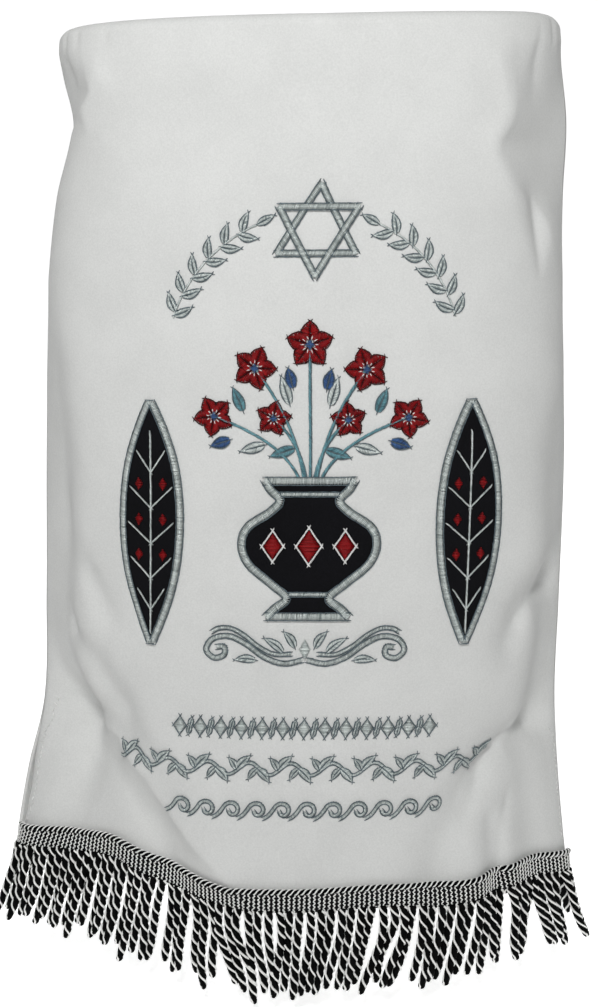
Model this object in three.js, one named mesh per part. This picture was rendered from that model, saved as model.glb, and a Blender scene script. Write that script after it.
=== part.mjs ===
// Torah mantle: a white velvet cover that drops over a scroll, as an open-bottomed oval tube under a flat top.
// A front and a back panel are sewn together down the sides as far as two slits. Each hem carries a bullion
// fringe, and black velvet patches are laid on the front for the embroidery to edge.
// Millimetres, +Z up. The front faces -Y, and the origin is the middle of the top's underside.

import * as THREE from "three";

// Cloth
const VELVET = 2; // lined velvet, face to inside
const SEAM_GAP = 0.4; // between panels that are sewn edge to edge
const TOP_GAP = 0.5; // between the panels and the edge of the top
const LAID_GAP = 0.8; // between a panel and a patch sewn flat on it
const HEADING_GAP = 1.1; // between a panel and the thick heading of its fringe
const PATCH = 1.2; // thickness of a black velvet patch

// Oval top with two holes for the handles of the scroll's rollers
const TOP_THICKNESS = 2.5;
const HANDLE_HOLE = 42; // diameter
const HANDLE_SPACING = 156; // centre to centre

// Rounded rim where each panel turns in to meet the top. It is puffed above the top, and highest at the right.
const DROP_DATUM = 3; // height from which every drop below is measured
const RIM_RADIUS = 8;
const RIM_TURN_IN = 13; // from the wall to the top's edge
const RIM = [
  { across: -1, height: 3.5 },
  { across: -0.7, height: 5 },
  { across: -0.35, height: 6.5 },
  { across: 0, height: 7.7 },
  { across: 0.35, height: 8.9 },
  { across: 0.7, height: 9.9 },
  { across: 0.9, height: 9 },
  { across: 1, height: 7.5 },
];

// Hem, slits and fringe
const HEADING = 14; // height of the heading
const HEADING_THICKNESS = 3;
const SLIT_LEFT = 425; // drop at which the left side seam ends
const SLIT_RIGHT = 445;
const SLIT_OPEN = 16; // gap between front and back at the hem
const BACK_SHOWS = 3; // the back flap is wider than the front one by this much at each slit
const CORD_PITCH = 6.5; // spacing of the fringe's twisted cords
const CORD_WIDTH = 4.8;
const CORD_TIP = 3.4;
const CORD_UNEVEN = 3; // each cord is longer or shorter than its neighbours by up to this much
const UNEVEN_STEP = 2.4; // radians from one cord to the next, so that lengths never fall into a pattern
const CORD_SPLAY = 0.06; // how far a cord leans out from the wall, as a slope

// Oval section of the cover at each drop: how far the seams, the front and the back reach from the middle,
// and how square the oval is (2 is an ellipse).
const SECTIONS = [
  { drop: 0, left: 154, right: 154, front: 70, back: 70, square: 2.6 },
  { drop: 20, left: 155, right: 156, front: 71, back: 71, square: 2.6 },
  { drop: 55, left: 149, right: 160, front: 71, back: 72, square: 2.5 },
  { drop: 100, left: 160, right: 159, front: 73, back: 74, square: 2.4 },
  { drop: 170, left: 169, right: 160, front: 76, back: 77, square: 2.4 },
  { drop: 260, left: 174, right: 164, front: 79, back: 80, square: 2.4 },
  { drop: 360, left: 178, right: 163, front: 81, back: 82, square: 2.35 },
  { drop: 430, left: 182, right: 162, front: 82, back: 84, square: 2.3 },
  { drop: 480, left: 194, right: 166, front: 86, back: 88, square: 2.2 },
  { drop: 545, left: 206, right: 174, front: 90, back: 92, square: 2.1 },
];

// Soft folds, each along a path of [across, drop] points. Across is -1 at the left seam and 1 at the right one.
// Height is outwards, so a trough is negative.
const FOLDS = {
  front: [
    { name: "left shoulder ridge", path: [[-0.6, 34], [-0.9, 66]], width: 11, height: 6 },
    { name: "left shoulder hollow", path: [[-0.8, 28], [-0.97, 52]], width: 10, height: -6 },
    { name: "left side sag", path: [[-0.78, 302], [-0.42, 352]], width: 20, height: -3 },
    { name: "left side swell", path: [[-0.85, 372], [-0.5, 395]], width: 22, height: 2.5 },
    { name: "right side sag", path: [[0.85, 338], [0.61, 350], [0.55, 376]], width: 13, height: -3.5 },
    { name: "left slit top", path: [[-0.86, 426], [-0.43, 432]], width: 17, height: -6 },
    { name: "left flap trough", path: [[-0.38, 446], [-0.29, 472], [-0.26, 535]], width: 15, height: -6 },
    { name: "left wing, set back", path: [[-0.66, 482], [-0.56, 545]], width: 56, height: -24 },
    { name: "right slit top", path: [[0.83, 441], [0.5, 454]], width: 15, height: -6 },
    { name: "right flap trough", path: [[0.44, 464], [0.41, 470], [0.33, 520]], width: 13, height: -5 },
    { name: "right wing, set back", path: [[0.72, 486], [0.72, 545]], width: 42, height: -10 },
    { name: "right flap valley", path: [[0.52, 496], [0.5, 540]], width: 9, height: -5 },
  ],
  back: [
    { name: "left slit trough", path: [[-0.86, 428], [-0.4, 452], [-0.32, 535]], width: 20, height: -5 },
    { name: "right slit trough", path: [[0.85, 446], [0.45, 466], [0.36, 535]], width: 20, height: -5 },
    { name: "side sag", path: [[-0.8, 250], [-0.4, 310]], width: 26, height: -3 },
  ],
};

// Diamond-shaped dents where the cloth buckles under the edge of the top.
const DENTS = {
  front: [{ name: "right shoulder dent", across: 0.67, drop: 76, halfAcross: 0.24, halfDrop: 82, depth: 9 }],
  back: [{ name: "left shoulder dent", across: -0.66, drop: 80, halfAcross: 0.22, halfDrop: 80, depth: 7 }],
};
const DENT_SOFTNESS = 0.8; // share of a dent's reach over which it deepens
const SEAM_FADE = 0.9; // beyond this far across, folds fade out towards a sewn seam
const HALF_GIRTH = 215; // from the middle of a panel to its seam, to turn across into millimetres

// Drop of the upper edge of the fringe's woven heading along each hem.
const HEM = {
  front: [
    { across: -1, drop: 519 },
    { across: -0.8, drop: 515 },
    { across: -0.6, drop: 514 },
    { across: -0.45, drop: 513 },
    { across: -0.3, drop: 522.5 },
    { across: -0.15, drop: 528 },
    { across: 0, drop: 528.5 },
    { across: 0.2, drop: 526 },
    { across: 0.35, drop: 529 },
    { across: 0.5, drop: 528 },
    { across: 0.65, drop: 528 },
    { across: 0.8, drop: 529 },
    { across: 1, drop: 534 },
  ],
  back: [
    { across: -1, drop: 520 },
    { across: -0.5, drop: 524 },
    { across: 0, drop: 530 },
    { across: 0.5, drop: 529 },
    { across: 1, drop: 534 },
  ],
};

// Cords of each fringe: their lean in degrees, positive to the right as the front is seen, and their length.
const CORDS = {
  front: [
    { across: -1, lean: -18, length: 50 },
    { across: -0.75, lean: -12, length: 54 },
    { across: -0.45, lean: -4, length: 58 },
    { across: -0.2, lean: 5, length: 57 },
    { across: -0.05, lean: -3, length: 61 },
    { across: 0.1, lean: -13, length: 60 },
    { across: 0.3, lean: -18, length: 56 },
    { across: 0.45, lean: -12, length: 53 },
    { across: 0.6, lean: 1, length: 50 },
    { across: 0.8, lean: 9, length: 50 },
    { across: 1, lean: 14, length: 50 },
  ],
  back: [
    { across: -1, lean: -9, length: 52 },
    { across: -0.3, lean: 3, length: 58 },
    { across: 0.3, lean: -4, length: 60 },
    { across: 1, lean: 8, length: 52 },
  ],
};

// Black velvet patches: reach of the outline to each side of its own middle line, at each drop.
const MOTIF_SHIFT = 7; // the embroidery's axis lies this far right of the panel's middle
const LEAF_OFFSET = 97; // from that axis to the middle of each leaf
const LEAF = [
  { drop: 222, half: 1.5 },
  { drop: 232, half: 6 },
  { drop: 244, half: 10.5 },
  { drop: 258, half: 14.5 },
  { drop: 274, half: 17 },
  { drop: 291, half: 18 },
  { drop: 308, half: 17.5 },
  { drop: 325, half: 15.5 },
  { drop: 341, half: 12 },
  { drop: 356, half: 7 },
  { drop: 370, half: 1.5 },
];
const URN = [
  { drop: 268, half: 27 },
  { drop: 273, half: 24 },
  { drop: 280, half: 18 },
  { drop: 287, half: 24 },
  { drop: 296, half: 37 },
  { drop: 308, half: 41 },
  { drop: 320, half: 36 },
  { drop: 332, half: 22 },
  { drop: 341, half: 13 },
  { drop: 347, half: 20 },
  { drop: 352, half: 25 },
];

// Fineness of the faceted cloth: columns across a panel, and rows down each band of it
const COLUMNS = { front: 26, back: 18 };
const COLUMN_SPREAD = 1.25; // above 1 draws the columns together at the middle, where they would be widest apart
const BANDS = [
  { to: 118, front: 8, back: 5 },
  { to: 400, front: 11, back: 5 },
  { to: "hem", front: 9, back: 6 },
];
const PATCH_COLUMNS = { urn: 8, leaf: 4 };
const RIM_STEPS = 3;
const HOLE_STEPS = 24;

const { degToRad, lerp, smoothstep, clamp } = THREE.MathUtils;

// Smooth curve through one column of a table, whose slope at each row is the mean of the chords beside it.
function along(table, key, column, at) {
  const last = table.length - 1;
  const x = clamp(at, table[0][key], table[last][key]);
  const i = Math.min(last - 1, table.findLastIndex((row) => row[key] <= x));
  const chord = (k) => (table[k + 1][column] - table[k][column]) / (table[k + 1][key] - table[k][key]);
  const slope = (k) => (chord(Math.max(0, k - 1)) + chord(Math.min(last - 1, k))) / 2;
  const span = table[i + 1][key] - table[i][key];
  const t = (x - table[i][key]) / span;
  const rise = t * t * (3 - 2 * t);
  return (
    lerp(table[i][column], table[i + 1][column], rise) +
    span * t * (1 - t) * ((1 - t) * slope(i) - t * slope(i + 1))
  );
}

// Distance in millimetres from a place on a panel to a fold's path.
function distanceToPath(across, drop, path) {
  const place = new THREE.Vector2(across * HALF_GIRTH, drop);
  const corners = path.map(([a, d]) => new THREE.Vector2(a * HALF_GIRTH, d));
  let nearest = Infinity;
  for (let i = 0; i + 1 < corners.length; i++) {
    const step = corners[i + 1].clone().sub(corners[i]);
    const share = clamp(place.clone().sub(corners[i]).dot(step) / step.lengthSq(), 0, 1);
    nearest = Math.min(nearest, place.distanceTo(corners[i].clone().addScaledVector(step, share)));
  }
  return nearest;
}

const slitDrop = (across) => (across < 0 ? SLIT_LEFT : SLIT_RIGHT);
const headingDrop = (side, across) => along(HEM[side], "across", "drop", across);
const hemDrop = (side, across) => headingDrop(side, across) + HEADING - 1;
const slitShare = (across, drop) => smoothstep(drop, slitDrop(across), hemDrop("front", Math.sign(across)));

// How far the folds and dents push a panel outwards. Above the slits they fade out at the seams.
function foldHeight(side, across, drop) {
  let height = 0;
  for (const fold of FOLDS[side]) {
    height += fold.height * Math.exp(-((distanceToPath(across, drop, fold.path) / fold.width) ** 2));
  }
  for (const dent of DENTS[side]) {
    const inside =
      1 - Math.abs(across - dent.across) / dent.halfAcross - Math.abs(drop - dent.drop) / dent.halfDrop;
    height -= dent.depth * smoothstep(inside, 0, DENT_SOFTNESS);
  }
  const sewn = 1 - slitShare(across, drop);
  return height * (1 - sewn * smoothstep(Math.abs(across), SEAM_FADE, 1));
}

// Section of a panel at a drop: a place on it, and the level direction in which it faces.
function section(side, across, drop) {
  const row = (column) => along(SECTIONS, "drop", column, drop);
  const facing = side === "front" ? -1 : 1;
  const open = slitShare(across, drop);
  const halfWidth = (row("left") + row("right")) / 2 + (side === "back" ? BACK_SHOWS * open : 0);
  const middle = (row("right") - row("left")) / 2;
  const depth = row(side);
  const square = row("square");
  const turn = (across * Math.PI) / 2;
  const reachX = Math.sign(across) * Math.abs(Math.sin(turn)) ** (2 / square);
  const reachY = Math.abs(Math.cos(turn)) ** (2 / square);
  const edge = SEAM_GAP / 2 + (open * SLIT_OPEN) / 2;
  const place = new THREE.Vector2(middle + halfWidth * reachX, facing * lerp(edge, depth, reachY));
  const normal = new THREE.Vector2(
    (Math.sign(across) * Math.abs(reachX) ** (square - 1)) / halfWidth,
    (facing * reachY ** (square - 1)) / depth,
  ).normalize();
  return { place, normal };
}

// Outer face of a panel at a place on it.
function wallPoint(side, across, drop) {
  const { place, normal } = section(side, across, drop);
  place.addScaledVector(normal, foldHeight(side, across, drop));
  return new THREE.Vector3(place.x, place.y, DROP_DATUM - drop);
}

// Direction square to the outer face there.
function wallNormal(side, across, drop) {
  const step = 0.004;
  const inner = Math.sign(across || 1) * Math.min(Math.abs(across), 1 - step);
  const alongX = wallPoint(side, inner + step, drop).sub(wallPoint(side, inner - step, drop));
  const alongZ = wallPoint(side, inner, drop + 1).sub(wallPoint(side, inner, drop - 1));
  const normal = alongZ.cross(alongX).normalize();
  return side === "front" ? normal : normal.negate();
}

// A place at some distance out from the outer face.
const offWall = (side, across, drop, out) =>
  wallPoint(side, across, drop).addScaledVector(wallNormal(side, across, drop), out);

// Places across a panel of the lines that run down it.
function columnsOf(side) {
  const count = COLUMNS[side];
  return Array.from({ length: count + 1 }, (_, i) => {
    const t = (2 * i) / count - 1;
    return Math.sign(t) * Math.abs(t) ** COLUMN_SPREAD;
  });
}

// The same on the panel's own facets, so that what is sewn on lies flat on them.
function offFacet(side, across, drop, out) {
  const columns = columnsOf(side);
  const i = Math.min(columns.length - 2, columns.findLastIndex((a) => a <= across));
  const share = (across - columns[i]) / (columns[i + 1] - columns[i]);
  return offWall(side, columns[i], drop, out).lerp(offWall(side, columns[i + 1], drop, out), share);
}

// Closed geometry from points and four-sided faces, turned to face outwards.
class Solid {
  points = [];
  triangles = [];

  point(place) {
    this.points.push(place);
    return this.points.length - 1;
  }

  face(a, b, c, d) {
    this.triangles.push(a, b, c, a, c, d);
  }

  geometry() {
    const made = new THREE.BufferGeometry().setFromPoints(this.points);
    let volume = 0;
    for (let i = 0; i < this.triangles.length; i += 3) {
      const [a, b, c] = this.triangles.slice(i, i + 3).map((k) => this.points[k]);
      volume += a.dot(b.clone().cross(c));
    }
    made.setIndex(volume < 0 ? this.triangles.reverse() : this.triangles);
    made.computeVertexNormals();
    return made;
  }
}

// Sheet of cloth between two grids of points, closed round its four edges.
function sheetGeometry(outer, inner) {
  const solid = new Solid();
  const [out, inn] = [outer, inner].map((grid) => grid.map((row) => row.map((p) => solid.point(p))));
  const rows = outer.length - 1;
  const columns = outer[0].length - 1;
  for (let r = 0; r < rows; r++) {
    for (let c = 0; c < columns; c++) {
      solid.face(out[r][c], out[r][c + 1], out[r + 1][c + 1], out[r + 1][c]);
      solid.face(inn[r][c], inn[r + 1][c], inn[r + 1][c + 1], inn[r][c + 1]);
    }
    solid.face(out[r][0], out[r + 1][0], inn[r + 1][0], inn[r][0]);
    solid.face(out[r][columns], inn[r][columns], inn[r + 1][columns], out[r + 1][columns]);
  }
  for (let c = 0; c < columns; c++) {
    solid.face(out[0][c], inn[0][c], inn[0][c + 1], out[0][c + 1]);
    solid.face(out[rows][c], out[rows][c + 1], inn[rows][c + 1], inn[rows][c]);
  }
  return solid.geometry();
}

const rimHeight = (across) => along(RIM, "across", "height", across);

// Point on the rolled rim: inset from the wall, and height above the top's underside.
function rimPoint(side, across, inset, height) {
  const { place, normal } = section(side, across, 0);
  place.addScaledVector(normal, -inset);
  return new THREE.Vector3(place.x, place.y, height);
}

// Front or back panel, from the edge of the top over the rim and down to the hem.
function panelGeometry(side) {
  const columns = columnsOf(side);
  const outer = [];
  const inner = [];
  outer.push(columns.map((a) => rimPoint(side, a, RIM_TURN_IN, TOP_THICKNESS)));
  inner.push(columns.map((a) => rimPoint(side, a, RIM_TURN_IN, TOP_THICKNESS - VELVET)));
  for (let i = RIM_STEPS; i >= 1; i--) {
    const roll = ((i / RIM_STEPS) * Math.PI) / 2;
    const rolled = (a, radius) =>
      rimPoint(
        side,
        a,
        RIM_RADIUS - radius * Math.cos(roll),
        rimHeight(a) - RIM_RADIUS + radius * Math.sin(roll),
      );
    outer.push(columns.map((a) => rolled(a, RIM_RADIUS)));
    inner.push(columns.map((a) => rolled(a, RIM_RADIUS - VELVET)));
  }
  const wallTop = (a) => DROP_DATUM + RIM_RADIUS - rimHeight(a);
  let above = wallTop;
  for (const band of BANDS) {
    const start = above;
    const end = (a) => (band.to === "hem" ? hemDrop(side, a) : band.to);
    for (let r = start === wallTop ? 0 : 1; r <= band[side]; r++) {
      const drop = (a) => lerp(start(a), end(a), r / band[side]);
      outer.push(columns.map((a) => wallPoint(side, a, drop(a))));
      inner.push(columns.map((a) => offWall(side, a, drop(a), -VELVET)));
    }
    above = end;
  }
  return sheetGeometry(outer, inner);
}

// Oval top: the outline where the rims turn in, with the two handle holes.
function topGeometry() {
  const edge = (side) =>
    columnsOf(side).map((across) => {
      const { place, normal } = section(side, across, 0);
      return place.addScaledVector(normal, -RIM_TURN_IN - TOP_GAP);
    });
  const front = edge("front");
  const back = edge("back").reverse();
  const outline = new THREE.Shape([...front, ...back.slice(1, -1)]);
  for (const end of [-1, 1]) {
    const hole = new THREE.Path();
    hole.absarc((end * HANDLE_SPACING) / 2, 0, HANDLE_HOLE / 2, 0, 2 * Math.PI, true);
    outline.holes.push(hole);
  }
  return new THREE.ExtrudeGeometry(outline, {
    depth: TOP_THICKNESS,
    bevelEnabled: false,
    curveSegments: HOLE_STEPS,
  });
}

// Places across a hem at even distances along it.
function evenlyAlongHem(side, spacing) {
  const samples = 600;
  const walk = [];
  let length = 0;
  let before = null;
  for (let i = 0; i <= samples; i++) {
    const across = (2 * i) / samples - 1;
    const here = wallPoint(side, across, headingDrop(side, across) + HEADING);
    if (before) length += before.distanceTo(here);
    walk.push({ across, length });
    before = here;
  }
  const count = Math.floor(length / spacing);
  const margin = (length - count * spacing) / 2;
  return Array.from({ length: count }, (_, i) => {
    const place = (offset) => walk.find((w) => w.length >= margin + (i + 0.5) * spacing + offset).across;
    return { middle: place(0), left: place(-CORD_WIDTH / 2), right: place(CORD_WIDTH / 2) };
  });
}

// Bullion fringe: a woven heading sewn over the hem, and a comb of twisted cords that hang from it.
function fringeGeometry(side) {
  const solid = new Solid();
  const cords = evenlyAlongHem(side, CORD_PITCH);
  const columns = cords.flatMap((cord) => [cord.left, cord.right]);
  const corner = (across, below, out) =>
    solid.point(offFacet(side, across, headingDrop(side, across) + below, out));
  const [near, far] = [HEADING_GAP, HEADING_GAP + HEADING_THICKNESS];
  const ring = columns.map((a) => ({
    outTop: corner(a, 0, far),
    inTop: corner(a, 0, near),
    outFoot: corner(a, HEADING, far),
    inFoot: corner(a, HEADING, near),
  }));
  for (let i = 0; i + 1 < ring.length; i++) {
    const [a, b] = [ring[i], ring[i + 1]];
    solid.face(a.outTop, b.outTop, b.outFoot, a.outFoot);
    solid.face(a.inTop, a.inFoot, b.inFoot, b.inTop);
    solid.face(a.outTop, a.inTop, b.inTop, b.outTop);
    if (i % 2 === 1) solid.face(a.outFoot, b.outFoot, b.inFoot, a.inFoot);
  }
  const [first, last] = [ring[0], ring[ring.length - 1]];
  solid.face(first.outTop, first.outFoot, first.inFoot, first.inTop);
  solid.face(last.outTop, last.inTop, last.inFoot, last.outFoot);
  cords.forEach((cord, i) => addCord(solid, side, cord, i, ring[2 * i], ring[2 * i + 1]));
  return solid.geometry();
}

// One cord of the comb, from the heading's lower edge to its tip.
function addCord(solid, side, cord, index, left, right) {
  const root = [left.outFoot, right.outFoot, right.inFoot, left.inFoot];
  const centre = root.reduce((sum, k) => sum.add(solid.points[k]), new THREE.Vector3()).divideScalar(root.length);
  const beside = solid.points[right.outFoot].clone().sub(solid.points[left.outFoot]).setZ(0).normalize();
  const outward = solid.points[left.outFoot].clone().sub(solid.points[left.inFoot]).setZ(0).normalize();
  const lean = Math.tan(degToRad(along(CORDS[side], "across", "lean", cord.middle)));
  const hang = new THREE.Vector3(lean, 0, -1).addScaledVector(outward, CORD_SPLAY);
  const length = along(CORDS[side], "across", "length", cord.middle);
  hang.setLength(length + CORD_UNEVEN * Math.sin(index * UNEVEN_STEP));
  const half = CORD_TIP / 2;
  const tip = [[-1, 1], [1, 1], [1, -1], [-1, -1]].map(([across, out]) =>
    solid.point(
      centre.clone().add(hang).addScaledVector(beside, across * half).addScaledVector(outward, out * half),
    ),
  );
  for (let k = 0; k < root.length; k++) {
    const next = (k + 1) % root.length;
    solid.face(root[k], root[next], tip[next], tip[k]);
  }
  solid.face(tip[0], tip[1], tip[2], tip[3]);
}

// Velvet patch laid on the front, whose outline is a table of half widths about its own middle line.
function patchGeometry(outline, offset, columns) {
  const grid = (out) =>
    outline.map(({ drop, half }) => {
      const middle = (along(SECTIONS, "drop", "right", drop) - along(SECTIONS, "drop", "left", drop)) / 2;
      return Array.from({ length: columns + 1 }, (_, i) => {
        const x = middle + MOTIF_SHIFT + offset + half * ((2 * i) / columns - 1);
        return offFacet("front", acrossAt(x, drop), drop, out);
      });
    });
  return sheetGeometry(grid(LAID_GAP + PATCH), grid(LAID_GAP));
}

// Place across the front panel that lies at a given x.
function acrossAt(x, drop) {
  const row = (column) => along(SECTIONS, "drop", column, drop);
  const share = (x - (row("right") - row("left")) / 2) / ((row("left") + row("right")) / 2);
  return (Math.sign(share) * 2 * Math.asin(Math.abs(share) ** (row("square") / 2))) / Math.PI;
}

const WHITE_VELVET = { color: 0xdcdcda, roughness: 0.95, metalness: 0 };
const BLACK_VELVET = { color: 0x07080d, roughness: 0.95, metalness: 0 };
const BLACK_BULLION = { color: 0x3a3937, roughness: 0.55, metalness: 0.1 };

const mantle = new THREE.Group();

function addPiece(name, geometry, finish) {
  const mesh = new THREE.Mesh(geometry, new THREE.MeshStandardMaterial(finish));
  mesh.name = name;
  mantle.add(mesh);
}

addPiece("top_panel", topGeometry(), WHITE_VELVET);
for (const side of ["front", "back"]) {
  addPiece(`${side}_panel`, panelGeometry(side), WHITE_VELVET);
  addPiece(`${side}_fringe`, fringeGeometry(side), BLACK_BULLION);
}
addPiece("urn_patch", patchGeometry(URN, 0, PATCH_COLUMNS.urn), BLACK_VELVET);
addPiece("left_leaf_patch", patchGeometry(LEAF, -LEAF_OFFSET, PATCH_COLUMNS.leaf), BLACK_VELVET);
addPiece("right_leaf_patch", patchGeometry(LEAF, LEAF_OFFSET, PATCH_COLUMNS.leaf), BLACK_VELVET);

export default mantle;
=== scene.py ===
"""Torah mantle: a white velvet scroll cover, embroidered, with black velvet patches and a bullion fringe.

Sizes are in millimetres until a mesh is made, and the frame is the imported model's: +Z up, the front towards -Y.
A place on a panel is given by across, -1 at the left seam to 1 at the right one, and by drop below the rim.
"""

from __future__ import annotations

import logging
import math
from collections.abc import Sequence
from dataclasses import dataclass, field
from enum import Enum

import bpy
import numpy as np
from mathutils import Matrix, Vector

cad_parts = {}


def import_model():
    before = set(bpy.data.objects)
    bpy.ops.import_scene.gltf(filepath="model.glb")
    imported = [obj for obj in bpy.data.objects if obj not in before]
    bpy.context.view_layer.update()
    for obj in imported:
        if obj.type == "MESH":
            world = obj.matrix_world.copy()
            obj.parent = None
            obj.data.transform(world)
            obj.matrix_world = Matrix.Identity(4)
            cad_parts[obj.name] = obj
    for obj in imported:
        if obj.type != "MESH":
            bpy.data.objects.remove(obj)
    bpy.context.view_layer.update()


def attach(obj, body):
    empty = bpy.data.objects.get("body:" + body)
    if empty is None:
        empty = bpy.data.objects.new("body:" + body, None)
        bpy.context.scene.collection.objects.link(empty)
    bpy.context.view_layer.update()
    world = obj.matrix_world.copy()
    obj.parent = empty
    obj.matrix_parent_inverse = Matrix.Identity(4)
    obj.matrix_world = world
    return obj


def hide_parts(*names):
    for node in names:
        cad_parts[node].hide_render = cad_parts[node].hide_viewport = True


LOG = logging.getLogger("mantle")
MM = 0.001
SEED = 613
BODY = "root"

Array = np.ndarray
Pair = tuple[float, float]
Point = tuple[float, float, float]
Piece = bpy.types.Object
Material = bpy.types.Material
Tree = bpy.types.NodeTree
Node = bpy.types.Node
Socket = bpy.types.NodeSocket


# Shape of the cloth


@dataclass(frozen=True)
class Table:
    """Rows of named columns, read as smooth curves over the first column."""

    columns: tuple[str, ...]
    rows: tuple[tuple[float, ...], ...]

    def at(self, column: str, where: Array) -> Array:
        """Read one column as a smooth curve.

        Args:
            column: Name of the column to read.
            where: Places along the first column.

        Returns:
            The column's value at each place.
        """
        data = np.array(self.rows, float)
        keys, values = data[:, 0], data[:, self.columns.index(column)]
        chords = np.diff(values) / np.diff(keys)
        slopes = (np.append(chords[:1], chords) + np.append(chords, chords[-1:])) / 2
        place = np.clip(where, keys[0], keys[-1])
        i = np.clip(np.searchsorted(keys, place, side="right") - 1, 0, len(keys) - 2)
        span = keys[i + 1] - keys[i]
        t = (place - keys[i]) / span
        rise = t * t * (3 - 2 * t)
        bend = span * t * (1 - t) * ((1 - t) * slopes[i] - t * slopes[i + 1])
        return values[i] + (values[i + 1] - values[i]) * rise + bend


class Side(Enum):
    """Half of the cover."""

    FRONT = "front"
    BACK = "back"

    @property
    def facing(self) -> int:
        """Sign of Y on the outside of this half."""
        return -1 if self is Side.FRONT else 1

    def ordered(self, across: Array) -> Array:
        """Places across in the order that turns a sheet's faces outwards."""
        return across if self is Side.FRONT else across[::-1]


class Crease(Enum):
    """How a fold rounds off: exponent of its falling profile, or 0 for a step down on one side of its line."""

    SOFT = 2.0
    CRISP = 1.15
    STEP = 0.0


STEP_RAMP, STEP_REACH = 0.85, 2.2  # shares of a fold's width: a step's ramp, and how far the step reaches
STEP_CURVE = 1.7  # how fast the ramp falls away beside the line
FOLD_REACH = 7  # widths from its line beyond which a fold isn't worked out


@dataclass(frozen=True)
class Fold:
    """Trough or ridge along a path of (across, drop) points, height outwards in millimetres.

    Its width on the left of the path, as seen from outside, can be a share of that on the right.
    """

    name: str
    path: tuple[Pair, ...]
    width: float
    height: float
    crease: Crease = Crease.SOFT
    far_share: float = 1.0

    def profile(self, away: Array, signed: Array) -> Array:
        """Share of the fold's height near its line.

        Args:
            away: Distance from the line.
            signed: The same, above 0 on the right of the path and below 0 on its left.

        Returns:
            Shares from 0 to 1.
        """
        if self.crease is Crease.STEP:
            wall = 1 - (1 - np.clip(signed / (STEP_RAMP * self.width), 0, 1)) ** STEP_CURVE
            return wall * np.exp(-((away / (STEP_REACH * self.width)) ** 2))
        turned = smooth(signed / np.maximum(away, 1e-6), -1, 1)
        width = self.width * (self.far_share + (1 - self.far_share) * turned)
        return np.exp(-((away / width) ** self.crease.value))


@dataclass(frozen=True)
class Taut:
    """Flat plane from a crease to a seam, where the cloth is pulled tight.

    The crease's rows give its drop, its place across, and how far the cloth is drawn to the plane there.
    """

    name: str
    seam: int
    crease: Table
    softness: float = 0.0
    folds_stay: bool = False


@dataclass(frozen=True)
class Dent:
    """Diamond-shaped hollow where the cloth buckles."""

    name: str
    across: float
    drop: float
    half_across: float
    half_drop: float
    depth: float


SECTIONS = Table(
    ("drop", "left", "right", "front", "back", "square"),
    (
        (0, 154, 154, 70, 70, 2.6),
        (20, 155, 156, 71, 71, 2.6),
        (55, 149, 160, 71, 72, 2.5),
        (100, 160, 159, 73, 74, 2.4),
        (170, 169, 160, 76, 77, 2.4),
        (260, 174, 164, 79, 80, 2.4),
        (360, 178, 163, 81, 82, 2.35),
        (430, 182, 162, 82, 84, 2.3),
        (480, 194, 166, 86, 88, 2.2),
        (545, 206, 174, 90, 92, 2.1),
    ),
)

RIM = Table(
    ("across", "height"),
    ((-1, 3.5), (-0.7, 5), (-0.35, 6.5), (0, 7.7), (0.35, 8.9), (0.7, 9.9), (0.9, 9), (1, 7.5)),
)

HEM = {
    Side.FRONT: Table(
        ("across", "drop"),
        (
            (-1, 519), (-0.8, 515), (-0.6, 514), (-0.45, 513), (-0.3, 522.5), (-0.15, 528), (0, 528.5), (0.2, 526),
            (0.35, 529), (0.5, 528), (0.65, 528), (0.8, 529), (1, 534),
        ),
    ),
    Side.BACK: Table(("across", "drop"), ((-1, 520), (-0.5, 524), (0, 530), (0.5, 529), (1, 534))),
}

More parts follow.
